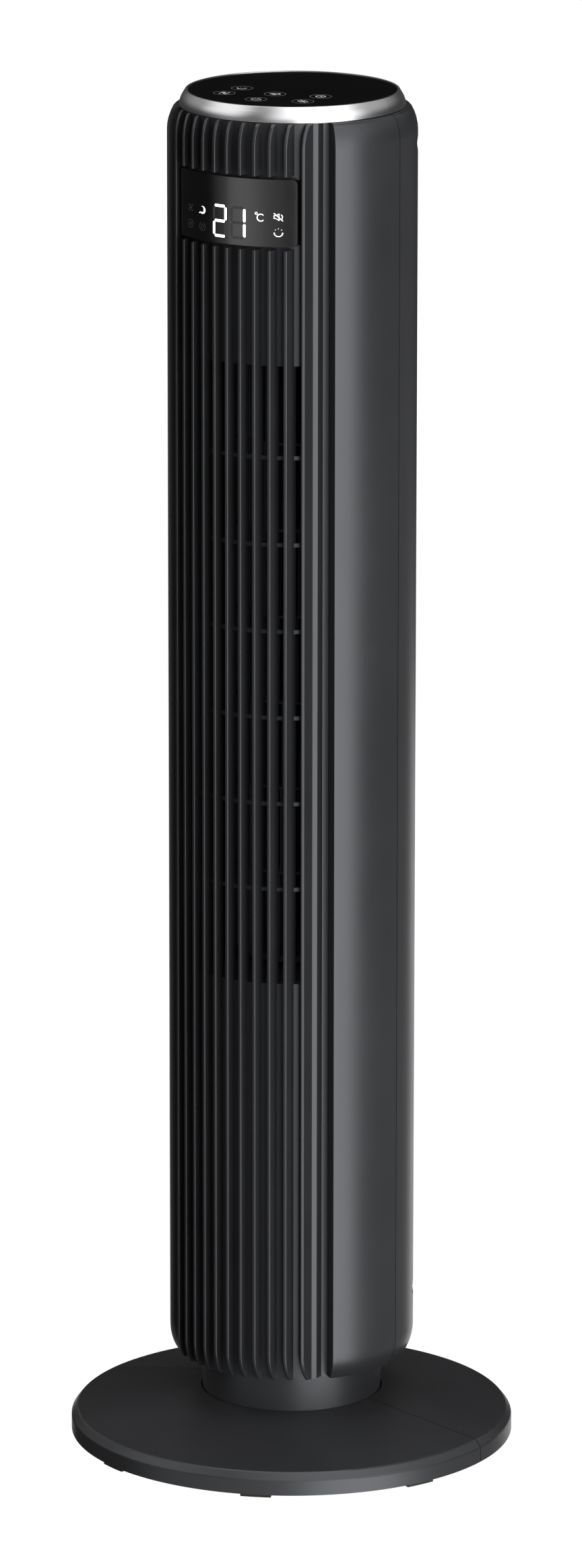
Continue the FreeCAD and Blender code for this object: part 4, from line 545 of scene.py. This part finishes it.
def panel_prints():
    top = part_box("touch_panel")[1].z / MM

    def on_panel(u, v, height):
        return Vector((u, v, top + height)) * MM

    rings, icons = Symbols(), Symbols()
    for x, y, symbol in KEYS:
        rings.ring((x, y), KEY_RING_RADIUS, KEY_RING_WIDTH, 64)
        symbol(icons, (x, y), KEY_SYMBOL_SIZE, KEY_SYMBOL_WIDTH)
    white = glowing_print("key_symbols", (0.62, 0.63, 0.65), (0.93, 0.97, 1.0), 0.14)
    # The printed key rings have no light behind them: their faint emission is a painted glow.
    grey_print_painted_glow = glowing_print("key_rings", (0.16, 0.16, 0.17), (0.5, 0.5, 0.5), 0.03)
    icons.piece("panel_key_symbols", on_panel, white, "led_blocks", "tower")
    rings.piece("panel_key_rings", on_panel, grey_print_painted_glow, "led_blocks", "tower")


# ------------------------------------------------------------------ stage, light and camera
def around(azimuth, distance, height):
    """Point at an angle round the fan from its front, towards +X."""
    turn = math.radians(azimuth)
    return Vector((distance * math.sin(turn), -distance * math.cos(turn), height))


def add_floor():
    """Plain pale floor, even and white, that neither shades the fan nor shows in it."""
    half = 9.0
    corners = [(-half, -half, 0), (half, -half, 0), (half, half, 0), (-half, half, 0)]
    mesh = bpy.data.meshes.new("floor")
    mesh.from_pydata(corners, [], [(0, 1, 2, 3)])
    floor = bpy.data.objects.new("floor", mesh)
    bpy.context.scene.collection.objects.link(floor)
    graph = Graph("floor")
    graph.set(Base_Color=(0.02, 0.02, 0.02, 1), Roughness=1.0, Specular_IOR_Level=0.0)
    graph.set(Emission_Color=(1, 1, 1, 1), Emission_Strength=1.0)
    mesh.materials.append(graph.material)
    floor.visible_diffuse = False
    floor.visible_glossy = False
    floor.visible_transmission = False
    floor.visible_shadow = False


def softbox(name, place, target, size, radiance, spread=180, only=()):
    """Soft light of even radiance, itself out of the picture; with only, it lights just those nodes."""
    data = bpy.data.lights.new(name, "AREA")
    data.shape = "RECTANGLE"
    data.size, data.size_y = size
    data.energy = radiance * math.pi * size[0] * size[1]
    data.spread = math.radians(spread)
    lamp = bpy.data.objects.new(name, data)
    lamp.location = place
    lamp.rotation_euler = (Vector(target) - place).to_track_quat("-Z", "Y").to_euler()
    lamp.visible_camera = False
    if only:
        receivers = bpy.data.collections.new(name + "_receivers")
        for node in only:
            receivers.objects.link(frame["nodes"][node])
        lamp.light_linking.receiver_collection = receivers
    bpy.context.scene.collection.objects.link(lamp)


class Surroundings:
    """World light built from soft cards in direction space; the camera itself sees plain white."""

    def __init__(self):
        world = bpy.data.worlds.new("studio")
        bpy.context.scene.world = world
        world.use_nodes = True
        self.tree = world.node_tree
        self.background = self.tree.nodes["Background"]
        self.background.inputs["Color"].default_value = (1, 1, 1, 1)
        self.direction = self.tree.nodes.new("ShaderNodeTexCoord").outputs["Generated"]
        parts = self.tree.nodes.new("ShaderNodeSeparateXYZ")
        self.tree.links.new(self.direction, parts.inputs[0])
        self.rise = parts.outputs["Z"]
        flat = self.vector_math("MULTIPLY", self.direction, (1, 1, 0))
        self.heading = self.vector_math("NORMALIZE", flat)
        self.total = None

    def vector_math(self, operation, first, second=None):
        node = self.tree.nodes.new("ShaderNodeVectorMath")
        node.operation = operation
        self.tree.links.new(first, node.inputs[0])
        if second is not None:
            node.inputs[1].default_value = second
        return node.outputs["Value" if operation == "DOT_PRODUCT" else "Vector"]

    def combine(self, operation, first, second):
        node = self.tree.nodes.new("ShaderNodeMath")
        node.operation = operation
        self.tree.links.new(first, node.inputs[0])
        if isinstance(second, float):
            node.inputs[1].default_value = second
        else:
            self.tree.links.new(second, node.inputs[1])
        return node.outputs["Value"]

    def ramp(self, value, start, end, low, high):
        """Smooth change from low to high as the value goes from start to end."""
        node = self.tree.nodes.new("ShaderNodeMapRange")
        node.interpolation_type = "SMOOTHSTEP"
        for name, number in (("From Min", start), ("From Max", end), ("To Min", low), ("To Max", high)):
            node.inputs[name].default_value = number
        self.tree.links.new(value, node.inputs["Value"])
        return node.outputs["Result"]

    def facing(self, azimuth, full, none):
        """One within the first angle of an azimuth, nothing beyond the second."""
        turn = math.radians(azimuth)
        nearness = self.vector_math("DOT_PRODUCT", self.heading, (math.sin(turn), -math.cos(turn), 0))
        return self.ramp(nearness, math.cos(math.radians(none)), math.cos(math.radians(full)), 0.0, 1.0)

    def level(self, start, end, low, high):
        """Change from low to high between two elevations."""
        return self.ramp(self.rise, math.sin(math.radians(start)), math.sin(math.radians(end)), low, high)

    def add(self, light):
        self.total = light if self.total is None else self.combine("ADD", self.total, light)

    def card(self, azimuth, full, none, bottom, top):
        """Card at an azimuth; bottom and top are its two changes with elevation, as level() takes them."""
        light = self.combine("MULTIPLY", self.level(*bottom), self.level(*top))
        self.add(self.combine("MULTIPLY", light, self.facing(azimuth, full, none)))

    def finish(self):
        path = self.tree.nodes.new("ShaderNodeLightPath").outputs["Is Camera Ray"]
        strength = self.combine("MAXIMUM", path, self.total)
        self.tree.links.new(strength, self.background.inputs["Strength"])


# Azimuth and the half-widths where a card is full and where it ends, all in degrees, then its lower and its
# upper change of strength with elevation.
CARDS = {
    "right ground": (122, 40, 64, (-90, -80, 0.27, 0.27), (-18, -5, 1.0, 0.0)),
    "bright strip": (66, 18, 32, (-70, -40, 0.0, 4.4), (0, 25, 1.0, 0.1)),
    "right sky": (60, 32, 62, (0, 25, 0.0, 1.6), (70, 80, 1.0, 1.0)),
    "right fill": (105, 20, 80, (5, 25, 0.0, 0.25), (70, 80, 1.0, 1.0)),
    "left ground": (-14, 32, 42, (-70, -40, 0.0, 0.15), (0, 25, 1.0, 0.0)),
    "left sky": (-50, 10, 34, (5, 25, 0.0, 1.3), (60, 70, 1.0, 1.0)),
    "far left": (-105, 12, 28, (0, 20, 0.0, 0.35), (60, 70, 1.0, 1.0)),
    "far right": (155, 15, 35, (5, 25, 0.0, 0.2), (60, 70, 1.0, 1.0)),
}
# Changes with elevation alone: the faint fill from below, the sky above it and the soft light overhead.
LEVELS = ((-5, 10, 0.038, 0.012), (15, 35, 0.0, 0.12), (62, 72, 0.0, 1.6))


def add_light():
    """Studio of soft cards, and a few soft lights that only some nodes receive."""
    studio = Surroundings()
    for change in LEVELS:
        studio.add(studio.level(*change))
    for card in CARDS.values():
        studio.card(*card)
    studio.finish()
    softbox("low_back", around(203, 4.0, -2.0), (0, 0, -2.0), (4.0, 3.0), 1.1)
    add_display_light()
    softbox("base_card", around(0, 3.0, -0.9), (0, 0, 0), (6.0, 1.8), 0.55,
            only=("base_front_half", "neck_column"))
    softbox("back_card", around(250, 3.0, -0.3), (0, 0, -0.3), (2.0, 1.8), 0.9,
            only=("rear_shell", "rear_grille", "base_rear_half"))


# Lights for the display lens: azimuth, shift sideways and width in metres, radiance, spread in degrees.
DISPLAY_LIGHTS = {
    "display_patch": (-20, 0.0, 1.3, 0.12, 62),
    "display_fade": (-10, 0.32, 1.36, 0.31, 100),
}


def add_display_light():
    """Sheen on the display lens: a bright patch with soft sides, fading slowly towards the right."""
    low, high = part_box("display_lens")
    level = (low.z + high.z) / 2 - 0.3
    for name, (azimuth, aside, width, radiance, spread) in DISPLAY_LIGHTS.items():
        turn = math.radians(azimuth)
        sideways = Vector((math.cos(turn), math.sin(turn), 0)) * aside
        place = around(azimuth, 1.0, level) + sideways
        target = Vector((0, 0, level)) + sideways
        softbox(name, place, target, (width, 0.6), radiance, spread, ("display_lens",))


def add_camera():
    data = bpy.data.cameras.new("camera")
    data.lens = CAMERA_LENS
    data.sensor_width = CAMERA_SENSOR
    camera = bpy.data.objects.new("camera", data)
    turn = math.radians(CAMERA_AZIMUTH)
    left = Vector((-math.cos(turn), -math.sin(turn), 0))
    camera.location = around(CAMERA_AZIMUTH, CAMERA_DISTANCE, CAMERA_HEIGHT) + left * CAMERA_SHIFT_LEFT
    aim = Euler((math.radians(90 - CAMERA_PITCH), 0, turn)).to_matrix()
    camera.rotation_euler = (aim @ Matrix.Rotation(math.radians(CAMERA_ROLL), 3, "Z")).to_euler()
    bpy.context.scene.collection.objects.link(camera)
    bpy.context.scene.camera = camera


# ------------------------------------------------------------------ build
def main():
    dress_nodes(build_materials())
    display_symbols()
    panel_prints()
    add_floor()
    add_light()
    add_camera()
    bpy.context.scene.view_settings.view_transform = "Standard"


main()
